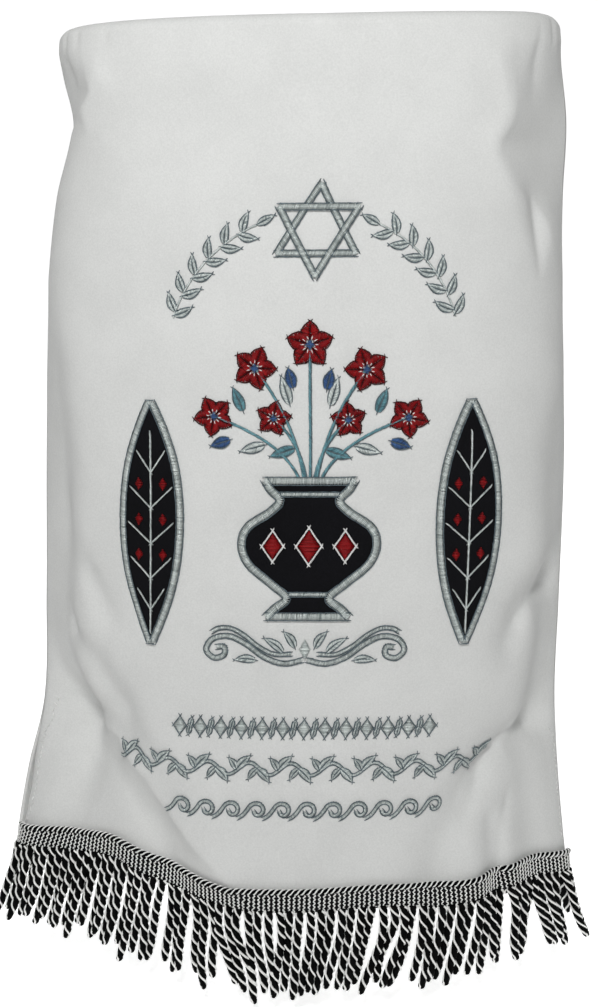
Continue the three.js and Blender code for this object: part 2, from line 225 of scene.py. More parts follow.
FOLDS = {
    Side.FRONT: (
        Fold("left shoulder ridge", ((-0.55, 30), (-0.68, 46)), 11, 3.5),
        Fold("left shoulder hollow", ((-0.8, 28), (-0.97, 52)), 10, -6),
        Fold("left side sag", ((-0.78, 302), (-0.42, 352)), 20, -3),
        Fold("right side sag", ((0.85, 338), (0.61, 350), (0.55, 376)), 13, -3.5),
        Fold("left slit top", ((-0.86, 426), (-0.43, 432)), 17, -6),
        Fold("left flap trough", ((-0.38, 446), (-0.29, 472), (-0.26, 535)), 15, -6),
        Fold("left wing, set back", ((-0.66, 482), (-0.56, 545)), 56, -24),
        Fold("right slit top", ((0.83, 441), (0.5, 454)), 15, -6),
        Fold("right flap trough", ((0.44, 464), (0.41, 470), (0.33, 520)), 13, -5),
        Fold("right wing, set back", ((0.72, 486), (0.72, 545)), 42, -16),
        Fold("right flap valley", ((0.52, 496), (0.5, 540)), 9, -5),
        Fold("right dent edge", ((0.46, 22), (0.48, 50), (0.42, 69), (0.45, 80), (0.6, 104)), 7, 1.6, Crease.CRISP),
        Fold("left side crease", ((-0.68, 372), (-0.52, 390), (-0.42, 417)), 11, -5),
        Fold("left side tuck", ((-0.54, 334), (-0.46, 359)), 9, -3),
        Fold("left slit crease", ((-0.48, 444), (-0.71, 438), (-0.9, 430), (-1.05, 421)), 20, -7, Crease.CRISP, 0.5),
        Fold("left flap crease", ((-0.62, 437), (-0.47, 443), (-0.33, 465), (-0.25, 487)), 30, -20, Crease.STEP),
        Fold("right upper swell", ((0.85, 314), (0.62, 324)), 24, 2.5),
        Fold("right side crease", ((1.02, 345), (0.67, 352), (0.6, 364)), 20, -6.5, Crease.CRISP, 0.6),
        Fold(
            "right flap crease",
            ((1.05, 445), (0.78, 440), (0.58, 440), (0.51, 454), (0.43, 490)), 20, -9, Crease.CRISP, 0.8,
        ),
        Fold("right flap valley crease", ((0.6, 486), (0.56, 506), (0.54, 530)), 7, -3.5, Crease.CRISP),
        Fold("left corner pucker, outer", ((-0.87, 3), (-0.86, 8)), 3.4, -1.3),
        Fold("left corner pucker, middle", ((-0.77, 3), (-0.765, 10)), 3.2, -1.4),
        Fold("left corner pucker, inner", ((-0.66, 3), (-0.66, 8)), 3.6, -1.0),
        Fold("left rim pucker", ((-0.5, 3), (-0.5, 7)), 4.0, -0.7),
        Fold("right corner pucker, inner", ((0.78, 1), (0.78, 7)), 3.4, -1.2),
        Fold("right corner pucker, outer", ((0.88, 2), (0.88, 9)), 3.2, -1.3),
    ),
    Side.BACK: (
        Fold("left slit trough", ((-0.86, 428), (-0.4, 452), (-0.32, 535)), 20, -5),
        Fold("right slit trough", ((0.85, 446), (0.45, 466), (0.36, 535)), 20, -5),
        Fold("side sag", ((-0.8, 250), (-0.4, 310)), 26, -3),
        Fold("right shoulder crease", ((0.9, 40), (0.6, 62)), 9, -2.4, Crease.CRISP),
        Fold("left corner pucker", ((-0.78, 5), (-0.77, 22)), 3.4, -0.9),
        Fold("right corner pucker", ((0.74, 5), (0.75, 22)), 3.4, -0.9),
    ),
}

DENTS = {
    Side.FRONT: (Dent("right shoulder dent", 0.67, 76, half_across=0.24, half_drop=82, depth=9),),
    Side.BACK: (Dent("left shoulder dent", -0.66, 80, half_across=0.22, half_drop=80, depth=7),),
}

TAUT_COLUMNS = ("drop", "across", "share")

RIGHT_SHOULDER = (
    (8, 0.5, 0), (22, 0.5, 0.45), (45, 0.51, 0.95), (58, 0.49, 1), (70, 0.45, 1), (80, 0.49, 1), (97, 0.64, 0.9),
    (115, 0.73, 0.6), (150, 0.8, 0),
)
LEFT_SHOULDER = (
    (12, -0.62, 0), (20, -0.61, 0.35), (29, -0.6, 0.85), (37, -0.6, 1), (46, -0.68, 1), (53, -0.77, 0.9),
    (60, -0.86, 0.5), (66, -0.93, 0.1), (70, -0.96, 0),
)
LEFT_SIDE = (
    (150, -0.66, 0), (179, -0.6, 0.35), (221, -0.52, 0.6), (264, -0.48, 0.8), (308, -0.51, 1), (346, -0.5, 1),
    (385, -0.5, 1), (410, -0.45, 1), (428, -0.43, 1), (440, -0.45, 0.75), (450, -0.48, 0.3), (460, -0.5, 0),
)
RIGHT_SIDE = (
    (200, 0.7, 0), (223, 0.62, 0.2), (265, 0.55, 0.55), (310, 0.58, 0.75), (348, 0.57, 0.8), (386, 0.54, 1),
    (415, 0.52, 1), (430, 0.53, 0.8), (442, 0.55, 0.35), (452, 0.57, 0),
)
TAUTS = {
    Side.FRONT: (
        Taut("right shoulder plane", 1, Table(TAUT_COLUMNS, RIGHT_SHOULDER)),
        Taut("left shoulder plane", -1, Table(TAUT_COLUMNS, LEFT_SHOULDER)),
        Taut("left side plane", -1, Table(TAUT_COLUMNS, LEFT_SIDE), softness=0.6, folds_stay=True),
        Taut("right side plane", 1, Table(TAUT_COLUMNS, RIGHT_SIDE), softness=0.7, folds_stay=True),
    ),
    Side.BACK: (),
}


def smooth(value: Array, low: float | Array, high: float | Array) -> Array:
    """Ease from 0 at low to 1 at high."""
    t = np.clip((value - low) / (high - low), 0, 1)
    return t * t * (3 - 2 * t)


def unit(way: Array) -> Array:
    """Directions of length 1."""
    return way / np.maximum(np.linalg.norm(way, axis=-1, keepdims=True), 1e-6)


def square_to(way: Array) -> Array:
    """Flat directions square to others."""
    return np.stack([way[..., 1], -way[..., 0]], -1)


def compass(angle: float | Array) -> Array:
    """Flat directions (u, drop) at angles clockwise from straight up."""
    return np.stack([np.sin(angle), -np.cos(angle)], -1)


def travelled(path: Array) -> Array:
    """Distance along a path at each of its points."""
    return np.concatenate([[0], np.cumsum(np.linalg.norm(np.diff(path, axis=0), axis=1))])


@dataclass(frozen=True)
class Cloth:
    """The hung surface that every piece lies on."""

    seam_gap: float = 0.4
    drop_datum: float = 3.0
    rim_radius: float = 8.0
    rim_turn_in: float = 13.0
    top_thickness: float = 2.5
    heading: float = 14.0
    slit_left: float = 425.0
    slit_right: float = 445.0
    slit_open: float = 16.0
    back_shows_left: float = 3.0
    back_shows_right: float = -3.0
    half_girth: float = 215.0
    dent_softness: float = 0.8
    seam_fade: float = 0.9
    probe_across: float = 0.003
    probe_drop: float = 0.7

    def heading_drop(self, side: Side, across: Array) -> Array:
        """Drop of the upper edge of the fringe's heading."""
        return HEM[side].at("drop", across)

    def hem_drop(self, side: Side, across: Array) -> Array:
        """Drop of the cloth's lower edge, just inside the heading's."""
        return self.heading_drop(side, across) + self.heading - 1

    def wall_top(self, across: Array) -> Array:
        """Drop at which the wall ends and the rim begins to roll in."""
        return self.drop_datum + self.rim_radius - RIM.at("height", across)

    def slit_share(self, across: Array, drop: Array) -> Array:
        """How far a side slit has opened, from 0 at its top to 1 at the hem."""
        start = np.where(np.asarray(across) < 0, self.slit_left, self.slit_right)
        return smooth(drop, start, self.hem_drop(Side.FRONT, np.sign(across)))

    def fold_height(self, side: Side, across: Array, drop: Array) -> Array:
        """How far folds and dents push the cloth outwards.

        Args:
            side: Panel.
            across: Places across it.
            drop: Their drops.

        Returns:
            Heights in millimetres.
        """
        height = np.zeros(np.broadcast(across, drop).shape)
        place = np.stack(np.broadcast_arrays(np.asarray(across) * self.half_girth, drop), -1)
        for fold in FOLDS[side]:
            corners = np.array(fold.path) * (self.half_girth, 1)
            margin = fold.width * FOLD_REACH
            near = np.all((place > corners.min(0) - margin) & (place < corners.max(0) + margin), axis=-1)
            spots = place[near]
            nearest, signed = np.full(len(spots), np.inf), np.zeros(len(spots))
            for k, (start, end) in enumerate(zip(corners, corners[1:])):
                step = end - start
                share = (spots - start) @ step / (step @ step)
                gap = spots - start - np.clip(share, 0, 1)[:, None] * step
                away = np.linalg.norm(gap, axis=1)
                line = (step[0] * gap[:, 1] - step[1] * gap[:, 0]) / np.linalg.norm(step)
                beyond = ((share < 0) & (k == 0)) | ((share > 1) & (k == len(corners) - 2))
                closer = away < nearest
                nearest = np.where(closer, away, nearest)
                signed = np.where(closer, np.where(beyond, line, np.sign(line) * away), signed)
            height[near] += fold.height * fold.profile(nearest, signed)
        for dent in DENTS[side]:
            reach = abs(across - dent.across) / dent.half_across + abs(drop - dent.drop) / dent.half_drop
            height -= dent.depth * smooth(1 - reach, 0, self.dent_softness)
        sewn = 1 - self.slit_share(across, drop)
        return height * (1 - sewn * smooth(abs(across), self.seam_fade, 1))

    def section(self, side: Side, across: Array, drop: Array) -> tuple[Array, Array]:
        """Oval section before its folds.

        Args:
            side: Panel.
            across: Places across it.
            drop: Their drops.

        Returns:
            Level places (x, y), and the level directions in which they face.
        """
        left, right = SECTIONS.at("left", drop), SECTIONS.at("right", drop)
        opened = self.slit_share(across, drop)
        shows = np.where(np.asarray(across) < 0, self.back_shows_left, self.back_shows_right)
        half = (left + right) / 2 + (shows * opened if side is Side.BACK else 0)
        depth, square = SECTIONS.at(side.value, drop), SECTIONS.at("square", drop)
        turn = across * math.pi / 2
        reach_x = np.sign(across) * abs(np.sin(turn)) ** (2 / square)
        reach_y = abs(np.cos(turn)) ** (2 / square)
        edge = self.seam_gap / 2 + opened * self.slit_open / 2
        place = np.stack(
            [(right - left) / 2 + half * reach_x, side.facing * (edge + (depth - edge) * reach_y)], -1
        )
        face = np.stack(
            [
                np.sign(across) * abs(reach_x) ** (square - 1) / half,
                side.facing * reach_y ** (square - 1) / depth,
            ],
            -1,
        )
        return place, unit(face)

    def bare(self, side: Side, across: Array, drop: Array) -> Array:
        """Level places (x, y) of the section without folds."""
        return self.section(side, across, drop)[0]

    def drawn(self, side: Side, across: Array, drop: Array, level: Array, folds_stay: bool) -> Array:
        """Draw the taut stretches of one kind flat.

        Args:
            side: Panel.
            across: Places across it.
            drop: Their drops.
            level: Level places (x, y) before.
            folds_stay: Which kind: the one that still takes folds, or the one without.

        Returns:
            Level places after.
        """
        surface = self.bare if folds_stay else self.folded
        for taut in TAUTS[side]:
            if taut.folds_stay is folds_stay:
                edge = taut.crease.at("across", drop)
                along = np.clip((across - edge) / (taut.seam - edge), 0, 1)
                share = np.clip(taut.crease.at("share", drop), 0, 1) * (along > 0)
                if taut.softness:
                    share = share * smooth(along, 0, taut.softness)
                hit = share > 0
                start = surface(side, edge[hit], drop[hit])
                end = surface(side, np.full(start.shape[0], float(taut.seam)), drop[hit])
                plane = start + (end - start) * along[hit][:, None]
                level = level.copy()
                level[hit] += (plane - level[hit]) * share[hit][:, None]
        return level

    def folded(self, side: Side, across: Array, drop: Array) -> Array:
        """Level places (x, y) of the section with its folds.

        Args:
            side: Panel.
            across: Places across it.
            drop: Their drops.

        Returns:
            Level places in millimetres.
        """
        across, drop = np.broadcast_arrays(np.asarray(across, float), np.asarray(drop, float))
        place, face = self.section(side, across, drop)
        place = self.drawn(side, across, drop, place, True)
        return place + face * self.fold_height(side, across, drop)[..., None]

    def wall(self, side: Side, across: Array, drop: Array) -> Array:
        """Points of the outer face.

        Args:
            side: Panel.
            across: Places across it.
            drop: Their drops.

        Returns:
            Points in millimetres.
        """
        across, drop = np.broadcast_arrays(np.asarray(across, float), np.asarray(drop, float))
        level = self.drawn(side, across, drop, self.folded(side, across, drop), False)
        return np.concatenate([level, (self.drop_datum - drop)[..., None]], -1)

    def normal(self, side: Side, across: Array, drop: Array) -> Array:
        """Directions square to the outer face.

        Args:
            side: Panel.
            across: Places across it.
            drop: Their drops.

        Returns:
            Directions of length 1.
        """
        step, fall = self.probe_across, self.probe_drop
        inner = np.clip(across, -1 + step, 1 - step)
        sideways = self.wall(side, inner + step, drop) - self.wall(side, inner - step, drop)
        down = self.wall(side, inner, drop + fall) - self.wall(side, inner, drop - fall)
        return unit(np.cross(down, sideways) * -side.facing)

    def rim(self, side: Side, across: Array, inset: Array, height: Array, sink: Array) -> Array:
        """Points of the rolled rim.

        Args:
            side: Panel.
            across: Places across it.
            inset: How far each is in from the wall.
            height: Height above the top's underside.
            sink: Share of the wall's own folds that still shows there.

        Returns:
            Points in millimetres.
        """
        drop = self.wall_top(across)
        place, face = self.section(side, across, drop)
        level = place + face * (sink * self.fold_height(side, across, drop) - inset)[..., None]
        return np.concatenate([level, height[..., None]], -1)

    def across_at(self, x: Array, drop: Array) -> Array:
        """Place across the front panel that lies at a given x.

        Args:
            x: Places from left to right, in millimetres.
            drop: Their drops.

        Returns:
            Places across.
        """
        left, right = SECTIONS.at("left", drop), SECTIONS.at("right", drop)
        share = np.clip((x - (right - left) / 2) / ((right + left) / 2), -1, 1)
        return np.sign(share) * np.arcsin(abs(share) ** (SECTIONS.at("square", drop) / 2)) * 2 / math.pi


# Making meshes


def deselect() -> None:
    """Leave nothing selected, so that an operator acts on new pieces only."""
    if bpy.context.mode != "OBJECT":
        bpy.ops.object.mode_set(mode="OBJECT")
    bpy.ops.object.select_all(action="DESELECT")


def activate(piece: Piece) -> None:
    """Select one piece and make it the active one.

    Args:
        piece: Piece to select.
    """
    deselect()
    piece.select_set(True)
    bpy.context.view_layer.objects.active = piece


def linked(name: str, data: bpy.types.ID) -> Piece:
    """Make an object of its data and put it in the scene.

    Args:
        name: Object's name.
        data: Its mesh, curve, light or camera.

    Returns:
        The object.
    """
    made = bpy.data.objects.new(name, data)
    bpy.context.collection.objects.link(made)
    return made


def apply_modifier(piece: Piece, kind: str, **settings: object) -> None:
    """Add a modifier to a piece with its settings and apply it.

    Args:
        piece: Piece to change.
        kind: Modifier's type.
        **settings: The modifier's properties.
    """
    activate(piece)
    modifier = piece.modifiers.new(kind.lower(), kind)
    for name, value in settings.items():
        setattr(modifier, name, value)
    bpy.ops.object.modifier_apply(modifier=modifier.name)


def smooth_shading(piece: Piece) -> None:
    """Shade every face of a piece smooth."""
    piece.data.polygons.foreach_set("use_smooth", np.ones(len(piece.data.polygons), bool))


def grid(name: str, points: Array) -> Piece:
    """Lay a grid primitive over rows of points, in metres.

    Args:
        name: Piece's name.
        points: Rows by columns by 3.

    Returns:
        The piece, at the origin.
    """
    rows, columns = points.shape[:2]
    deselect()
    bpy.ops.mesh.primitive_grid_add(x_subdivisions=columns - 1, y_subdivisions=rows - 1, size=1)
    piece = bpy.context.active_object
    piece.name = piece.data.name = name
    piece.data.vertices.foreach_set("co", points.astype(np.float32).ravel())
    piece.data.update()
    return piece


def sheet_from_grid(name: str, points: Array, thickness: float) -> Piece:
    """Lay a grid over rows of points and give it the cloth's thickness.

    Args:
        name: Piece's name.
        points: Rows by columns by 3, in millimetres, with faces turned outwards.
        thickness: Cloth's thickness inwards from the points.

    Returns:
        The sheet, at the origin.
    """
    piece = grid(name, points * MM)
    apply_modifier(piece, "SOLIDIFY", thickness=thickness * MM, offset=-1.0, use_even_offset=True)
    smooth_shading(piece)
    return piece


def joined_mesh(name: str, points: Array, faces: Array, shade: Array, along: Array) -> Piece:
    """Make one piece of many small ones from arrays.

    Args:
        name: Piece's name.
        points: Points in millimetres.
        faces: Corners of its four-sided faces, where a triangle repeats its last corner.
        shade: One number for each point, for the threads' own differences of tone.
        along: One number for each point, millimetres along its thread.

    Returns:
        The piece, at the origin.
    """
    mesh = bpy.data.meshes.new(name)
    square = faces[:, 2] != faces[:, 3]
    corners = [row if whole else row[:3] for row, whole in zip(faces.tolist(), square.tolist())]
    mesh.from_pydata((points * MM).tolist(), [], corners)
    for key, values in (("shade", shade), ("along", along)):
        mesh.attributes.new(key, "FLOAT", "POINT").data.foreach_set("value", values.astype(np.float32))
    piece = linked(name, mesh)
    smooth_shading(piece)
    return piece


ASKEW = (0.3, 0.9, 0.31)  # a direction that no strand starts in


@dataclass
class Strands:
    """Round strands that are gathered, then joined into one mesh."""

    sides: int
    points: list[Array] = field(default_factory=list)
    faces: list[Array] = field(default_factory=list)
    shade: list[Array] = field(default_factory=list)
    along: list[Array] = field(default_factory=list)
    count: int = 0

    def add(self, path: Array, radius: float, shade: float) -> None:
        """Add a closed tube along a path.

        Args:
            path: Points in millimetres.
            radius: Its radius.
            shade: Tone of this strand, from 0 to 1.
        """
        stations = len(path)
        tangent = unit(np.gradient(path, axis=0))
        across = np.zeros_like(tangent)
        start = np.cross(tangent[0], ASKEW)
        for i in range(stations):
            start = start - tangent[i] * (start @ tangent[i])
            start = start / np.linalg.norm(start)
            across[i] = start
        beside = np.cross(tangent, across)
        angle = np.arange(self.sides) * 2 * math.pi / self.sides
        ring = np.cos(angle)[None, :, None] * across[:, None] + np.sin(angle)[None, :, None] * beside[:, None]
        self.points.append((path[:, None] + ring * radius).reshape(-1, 3))
        k = np.arange(stations - 1)[:, None] * self.sides
        a, b = np.arange(self.sides)[None], (np.arange(self.sides)[None] + 1) % self.sides
        skin = np.stack([k + a, k + b, k + b + self.sides, k + a + self.sides], -1).reshape(-1, 4)
        self.faces.append(skin + self.count)
        first, last = self.count, self.count + (stations - 1) * self.sides
        for i in range(1, self.sides - 1):
            self.faces.append(np.array([[first, first + i + 1, first + i, first + i]]))
            self.faces.append(np.array([[last, last + i, last + i + 1, last + i + 1]]))
        self.along.append(np.repeat(travelled(path), self.sides))
        self.shade.append(np.full(stations * self.sides, shade))
        self.count += stations * self.sides

    def build(self, name: str) -> Piece:
        """Join the strands into one piece."""
        return joined_mesh(name, *map(np.concatenate, (self.points, self.faces, self.shade, self.along)))


def dress(piece: Piece, material: Material) -> None:
    """Give a piece its material, and let it ride with the cover.

    Args:
        piece: Piece to dress.
        material: Its material.
    """
    piece.data.materials.clear()
    piece.data.materials.append(material)
    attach(piece, BODY)
    LOG.info("%s: %d faces", piece.name, len(piece.data.polygons))


# Finishes


def linear(colour: str) -> tuple[float, float, float, float]:
    """Turn an sRGB hex colour into a linear one.

    Args:
        colour: Hex colour after a hash sign.

    Returns:
        Red, green and blue, and 1 for opaque.
    """
    values = [int(colour[i : i + 2], 16) / 255 for i in (1, 3, 5)]
    parts = [v / 12.92 if v <= 0.04045 else ((v + 0.055) / 1.055) ** 2.4 for v in values]
    return parts[0], parts[1], parts[2], 1.0


def add_node(
    tree: Tree, kind: str, inputs: dict[str | int, object] | None = None, **settings: object
) -> Node:
    """Add a node with its settings, values and links.

    Args:
        tree: Node tree.
        kind: Node type.
        inputs: Value of each socket, or the socket that feeds it.
        **settings: The node's own properties.

    Returns:
        The node.
    """
    made = tree.nodes.new(kind)
    for name, value in settings.items():
        setattr(made, name, value)
    for socket, value in (inputs or {}).items():
        if isinstance(value, Socket):
            tree.links.new(value, made.inputs[socket])
        else:
            made.inputs[socket].default_value = value
    return made


def computed(tree: Tree, operation: str, *values: float | Socket) -> Socket:
    """Output of a math node on its values, in their order."""
    return add_node(tree, "ShaderNodeMath", dict(enumerate(values)), operation=operation).outputs[0]


def ranged(tree: Tree, value: Socket, span: Pair, ends: Pair = (0.0, 1.0), kind: str = "LINEAR") -> Socket:
    """Output of a node that maps the span of a value onto two ends."""
    inputs = dict(enumerate((value, *span, *ends)))
    return add_node(tree, "ShaderNodeMapRange", inputs, interpolation_type=kind).outputs[0]


def new_material(name: str, values: dict[str, object]) -> tuple[Material, Tree, Node]:
    """Start a material with a Principled shader on its output.

    Args:
        name: Material's name.
        values: The shader's settings, by socket.

    Returns:
        The material, its node tree and the shader.
    """
    material = bpy.data.materials.new(name)
    material.use_nodes = True
    tree = material.node_tree
    tree.nodes.clear()
    shader = add_node(tree, "ShaderNodeBsdfPrincipled", values)
    add_node(tree, "ShaderNodeOutputMaterial", {"Surface": shader.outputs["BSDF"]})
    return material, tree, shader


def tint(tree: Tree, shader: Node, share: Socket, low: str, high: str) -> None:
    """Colour a shader between two hex colours, by a share from 0 to 1.

    Args:
        tree: Node tree.
        shader: Shader to colour.
        share: Socket from 0 to 1.
        low: Colour at 0.
        high: Colour at 1.
    """
    ramp = add_node(tree, "ShaderNodeValToRGB", {"Fac": share})
    for element, colour in zip(ramp.color_ramp.elements, (low, high)):
        element.color = linear(colour)
    tree.links.new(ramp.outputs["Color"], shader.inputs["Base Color"])


def relief(tree: Tree, shader: Node, height: Socket, strength: float, depth: float) -> None:
    """Roughen a shader by a height, to a depth in millimetres."""
    bump = add_node(tree, "ShaderNodeBump", {"Height": height, "Strength": strength, "Distance": depth * MM})
    tree.links.new(bump.outputs["Normal"], shader.inputs["Normal"])


@dataclass(frozen=True)
class Velvet:
    """Cotton velvet, cut pile: matt and soft, paler where the pile turns edge-on, with faint brushed patches."""

    name: str
    light: str
    dark: str
    sheen: float
    sheen_tint: str
    pile_mm: float = 1.1  # real pile is 0.3 mm apart: drawn coarser so that it shows
    pile_share: float = 0.6
    pile_depth_mm: float = 0.22
    nap_mm: float = 38.0  # brushed patches
    nap_share: float = 0.4
    tone_span: Pair = (0.36, 0.64)

    def noise(self, tree: Tree, size: float, detail: float, roughness: float) -> Socket:
        """Noise of a size in millimetres.

        Args:
            tree: Node tree.
            size: Size of its patches.
            detail: Number of finer layers.
            roughness: Weight of the finer layers.

        Returns:
            The noise, from 0 to 1.
        """
        place = add_node(tree, "ShaderNodeTexCoord").outputs["Object"]
        inputs = {"Vector": place, "Scale": 1 / (size * MM), "Detail": detail, "Roughness": roughness}
        return add_node(tree, "ShaderNodeTexNoise", inputs).outputs["Fac"]

    def make(self) -> Material:
        """Make the material.

        Returns:
            The material.
        """
        material, tree, shader = new_material(
            self.name,
            {
                "Roughness": 0.92,
                "Specular IOR Level": 0.2,
                "Sheen Weight": self.sheen,
                "Sheen Roughness": 0.42,
                "Sheen Tint": linear(self.sheen_tint),
            },
        )
        nap, pile = self.noise(tree, self.nap_mm, 3.0, 0.55), self.noise(tree, self.pile_mm, 2.0, 0.6)
        tone = computed(tree, "MULTIPLY", nap, self.nap_share)
        tone = computed(tree, "MULTIPLY_ADD", pile, self.pile_share, tone)
        tint(tree, shader, ranged(tree, tone, self.tone_span), self.dark, self.light)
        relief(tree, shader, pile, 0.35, self.pile_depth_mm)
        return material


@dataclass(frozen=True)
class Floss:
    """Embroidery or fringe thread: twisted filaments that shine along their length and differ a little in tone, with
    painted shade in the twist's grooves.
    """

    name: str
    light: str
    dark: str
    roughness: float
    metallic: float = 0.0
    twist_mm: float = 0.9  # filament twist, drawn coarse enough to show
    sheen: float = 0.0
    gloss: float = 0.3
    # how much darker the twist's grooves and paler its ridges are painted
    twist_groove_shade: float = 0.14
    twist_depth_mm: float = 0.12

    def make(self) -> Material:
        """Make the material.

        Returns:
            The material.
        """
        material, tree, shader = new_material(
            self.name,
            {
                "Metallic": self.metallic,
                "Roughness": self.roughness,
                "Specular IOR Level": self.gloss,
                "Sheen Weight": self.sheen,
            },
        )
        shade = add_node(tree, "ShaderNodeAttribute", attribute_name="shade").outputs["Fac"]
        along = add_node(tree, "ShaderNodeAttribute", attribute_name="along").outputs["Fac"]
        twist = computed(tree, "SINE", computed(tree, "MULTIPLY", along, 2 * math.pi / self.twist_mm))
        # tone follows the twist's bump: paler ridges and darker grooves are painted highlight and shade
        tone = computed(tree, "MULTIPLY_ADD", twist, self.twist_groove_shade, shade)
        tint(tree, shader, tone, self.dark, self.light)
        relief(tree, shader, twist, 0.3, self.twist_depth_mm)
        return material


@dataclass(frozen=True)
class WovenTape:
    """Rayon tape of the fringe's heading: black ribs with a dull shine, with painted shade between the ribs."""

    name: str
    light: str
    dark: str
    rib_mm: float = 1.6
    rib_depth_mm: float = 0.3
    wave_unit: float = 20.0  # a wave texture's scale is this much finer than its size

    def make(self) -> Material:
        """Make the material.

        Returns:
            The material.
        """
        material, tree, shader = new_material(self.name, {"Roughness": 0.6, "Specular IOR Level": 0.12})
        place = add_node(tree, "ShaderNodeTexCoord").outputs["Object"]
        scale = 1 / (self.rib_mm * MM) / self.wave_unit
        inputs = {"Vector": place, "Scale": scale, "Distortion": 1.5, "Detail": 1.0}
        rib = add_node(tree, "ShaderNodeTexWave", inputs, bands_direction="Z").outputs["Fac"]
        # ribs paler and the grooves between them darker, by the bump's own wave: painted highlight and shade
        tint(tree, shader, rib, self.dark, self.light)
        relief(tree, shader, rib, 0.5, self.rib_depth_mm)
        return material


WHITE_VELVET = Velvet("white_cotton_velvet", "#E1E2E0", "#D6D7D5", sheen=0.04, sheen_tint="#FFFFFF")
BLACK_VELVET = Velvet("black_cotton_velvet", "#0B0B10", "#050508", sheen=0.12, sheen_tint="#50525C")
SILVER_FLOSS = Floss("silver_lurex_floss", "#E6ECE9", "#97A2A1", roughness=0.34, metallic=0.2, gloss=0.5)
WHITE_FLOSS = Floss("white_rayon_floss", "#F4F4F2", "#D9DAD8", roughness=0.4, sheen=0.2)
RED_FLOSS = Floss("deep_red_rayon_floss", "#A2151A", "#640A0F", roughness=0.42, gloss=0.25)
WINE_FLOSS = Floss("wine_red_rayon_floss", "#480A10", "#200406", roughness=0.45, gloss=0.2)
TEAL_FLOSS = Floss("grey_teal_rayon_floss", "#6FA5AF", "#2F5660", roughness=0.42, sheen=0.2)
BLUE_FLOSS = Floss("dusk_blue_rayon_floss", "#3F68A0", "#1D3355", roughness=0.4, sheen=0.1)
# dark lines along the edges of raised work: an outline, partly painted shade
DARK_EDGE_SHADE_FLOSS = Floss("slate_grey_floss_painted_edge_shade", "#74838A", "#47545A", roughness=0.45, gloss=0.25)
BLACK_CORD = Floss("black_rayon_bullion", "#070708", "#020202", roughness=0.66, twist_mm=1.3, gloss=0.05)
SILVER_CORD = Floss(
    "silver_white_bullion_thread", "#FFFFFC", "#EEEEEA", roughness=0.3, twist_mm=1.1, sheen=0.55, gloss=0.8
)
BLACK_TAPE = WovenTape("black_rayon_heading_tape", "#0F0F11", "#030304")


# Cloth panels


@dataclass
class Panel:
    """Front or back: white velvet from the edge of the top, over the rolled rim and down to the hem."""

    cloth: Cloth
    side: Side
    columns: int
    wall_rows: int
    roll_rows: int = 9
    inner_rows: int = 4
    column_spread: float = 1.25
    thickness: float = 2.0

    def points(self) -> Array:
        """Rows of points from the hem up to the top's edge.

        Returns:
            Rows by columns by 3, in millimetres.
        """
        t = np.linspace(-1, 1, self.columns + 1)
        across = self.side.ordered(np.sign(t) * abs(t) ** self.column_spread)
        cloth, rows = self.cloth, []
        top, hem = cloth.wall_top(across), cloth.hem_drop(self.side, across)
        for share in np.linspace(1, 0, self.wall_rows + 1):
            rows.append(cloth.wall(self.side, across, top + (hem - top) * share))
        radius, height = cloth.rim_radius, RIM.at("height", across)
        for roll in np.linspace(0, math.pi / 2, self.roll_rows + 1)[1:]:
            inset = np.full(across.shape, radius * (1 - math.cos(roll)))
            rise = height - radius + radius * math.sin(roll)
            rows.append(cloth.rim(self.side, across, inset, rise, math.cos(roll)))
        for share in np.linspace(0, 1, self.inner_rows + 1)[1:]:
            inset = np.full(across.shape, radius + (cloth.rim_turn_in - radius) * share)
            rise = height + (cloth.top_thickness - height) * share**2
            rows.append(cloth.rim(self.side, across, inset, rise, 0.0))
        return np.array(rows)

    def build(self, velvet: Material) -> Piece:
        """Make the sheet and dress it.

        Args:
            velvet: Its material.

        Returns:
            The piece.
        """
        node = f"{self.side.value}_panel"
        piece = sheet_from_grid(f"{node}_velvet", self.points(), self.thickness)
        dress(piece, velvet)
        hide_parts(node)
        return piece


